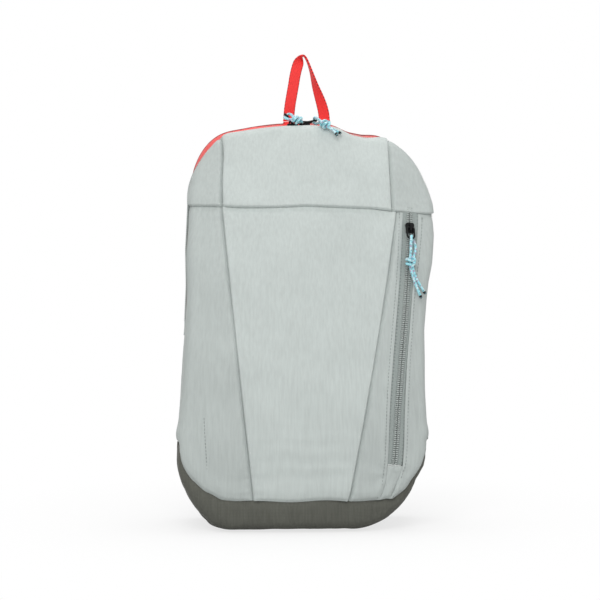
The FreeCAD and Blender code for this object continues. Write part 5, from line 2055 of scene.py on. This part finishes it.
class DaypackColours(bpy.types.PropertyGroup):
    """Colours of the cloth, webbing, zips and cords."""

    body: FloatVectorProperty(
        name="Body", description="Grey cloth of the panels",
        default=linear("#C7CFCC"), subtype="COLOR",
    )
    gusset: FloatVectorProperty(
        name="Gusset", description="Coral cloth behind the crown zip",
        default=linear("#F0504C"), subtype="COLOR",
    )
    base: FloatVectorProperty(
        name="Base", description="Heavy cloth under the pack",
        default=linear("#5E5F57"), subtype="COLOR",
    )
    # The zip tape's colour is its own tone darkened further, which is painted shade
    zip_tape: FloatVectorProperty(
        name="Zip tape", description="Knitted tape of both zips",
        default=linear("#9FA8A5"), subtype="COLOR",
    )
    haul_loop: FloatVectorProperty(
        name="Haul loop", description="Webbing of the haul loop",
        default=linear("#FF3735"), subtype="COLOR",
    )
    cord: FloatVectorProperty(
        name="Cord", description="Aqua strands of the pulls' cords",
        default=linear("#9FE3EE"), subtype="COLOR",
    )


def colours():
    return bpy.context.scene.daypack_colours


def sizes():
    return bpy.context.scene.daypack_sizes


class DAYPACK_OT_stage(bpy.types.Operator):
    """Make the camera, the lights and the floor"""

    bl_idname = "daypack.stage"
    bl_label = "Stage"

    def execute(self, context):
        build_stage()
        return {"FINISHED"}


class DAYPACK_OT_cords(bpy.types.Operator):
    """Make the three pulls' braided cords, with their knots and sealed ends"""

    bl_idname = "daypack.cords"
    bl_label = "Cords"

    def execute(self, context):
        build_cords()
        return {"FINISHED"}


class DAYPACK_OT_front(bpy.types.Operator):
    """Make the yoke, the centre panel, the left panel and the pocket's two panels"""

    bl_idname = "daypack.front"
    bl_label = "Front panels"

    def execute(self, context):
        build_front()
        return {"FINISHED"}


class DAYPACK_OT_sides(bpy.types.Operator):
    """Make the coral gusset and the grey side panels"""

    bl_idname = "daypack.sides"
    bl_label = "Gusset and sides"

    def execute(self, context):
        build_gusset()
        return {"FINISHED"}


class DAYPACK_OT_base(bpy.types.Operator):
    """Make the dark base"""

    bl_idname = "daypack.base"
    bl_label = "Base"

    def execute(self, context):
        build_base()
        return {"FINISHED"}


class DAYPACK_OT_zips(bpy.types.Operator):
    """Make the zips' tapes, coils and sewn ends"""

    bl_idname = "daypack.zips"
    bl_label = "Zips"

    def execute(self, context):
        build_zips(sizes().coil_pitch / MM)
        return {"FINISHED"}


class DAYPACK_OT_fittings(bpy.types.Operator):
    """Finish the sliders, rings and ladder locks"""

    bl_idname = "daypack.fittings"
    bl_label = "Sliders, rings and locks"

    def execute(self, context):
        build_metal()
        return {"FINISHED"}


class DAYPACK_OT_interior(bpy.types.Operator):
    """Finish the linings and the back's foam"""

    bl_idname = "daypack.interior"
    bl_label = "Linings and foam"

    def execute(self, context):
        build_interior()
        return {"FINISHED"}


class DAYPACK_OT_stitches(bpy.types.Operator):
    """Sew the front's topstitching and the pocket's bar tack"""

    bl_idname = "daypack.stitches"
    bl_label = "Topstitching"

    def execute(self, context):
        build_stitches(sizes().stitch / MM, sizes().stitch_gap / MM)
        return {"FINISHED"}


class DAYPACK_OT_haul_loop(bpy.types.Operator):
    """Make the haul loop and its sewn ends"""

    bl_idname = "daypack.haul_loop"
    bl_label = "Haul loop"

    def execute(self, context):
        build_haul_loop()
        return {"FINISHED"}


class DAYPACK_OT_back(bpy.types.Operator):
    """Make the quilted back cover and its binding"""

    bl_idname = "daypack.back"
    bl_label = "Back"

    def execute(self, context):
        build_back()
        return {"FINISHED"}


class DAYPACK_OT_straps(bpy.types.Operator):
    """Make both shoulder straps, their webbing and their anchor tabs"""

    bl_idname = "daypack.straps"
    bl_label = "Shoulder straps"

    def execute(self, context):
        build_straps()
        return {"FINISHED"}


OPERATORS = (
    DAYPACK_OT_stage,
    DAYPACK_OT_cords,
    DAYPACK_OT_front,
    DAYPACK_OT_sides,
    DAYPACK_OT_base,
    DAYPACK_OT_zips,
    DAYPACK_OT_fittings,
    DAYPACK_OT_interior,
    DAYPACK_OT_stitches,
    DAYPACK_OT_haul_loop,
    DAYPACK_OT_back,
    DAYPACK_OT_straps,
)


class DAYPACK_PT_panel(bpy.types.Panel):
    """The daypack's sizes, colours and steps"""

    bl_idname = "DAYPACK_PT_panel"
    bl_label = "Daypack"
    bl_space_type = "VIEW_3D"
    bl_region_type = "UI"
    bl_category = "Daypack"

    def draw(self, context):
        for name in GROUPS:
            group = getattr(context.scene, name)
            box = self.layout.box()
            for size in group.__annotations__:
                box.prop(group, size)
        for operator in OPERATORS:
            self.layout.operator(operator.bl_idname)


GROUPS = {
    "daypack_stage": DaypackStage,
    "daypack_sizes": DaypackSizes,
    "daypack_colours": DaypackColours,
}
CLASSES = (*GROUPS.values(), *OPERATORS, DAYPACK_PT_panel)


def register():
    for kind in CLASSES:
        bpy.utils.register_class(kind)
    for name, kind in GROUPS.items():
        setattr(bpy.types.Scene, name, PointerProperty(type=kind))


def unregister():
    for name in GROUPS:
        delattr(bpy.types.Scene, name)
    for kind in reversed(CLASSES):
        bpy.utils.unregister_class(kind)


def main():
    register()
    for operator in OPERATORS:
        step = operator.bl_idname.split(".")[1]
        getattr(bpy.ops.daypack, step)()


if __name__ == "__main__":
    main()
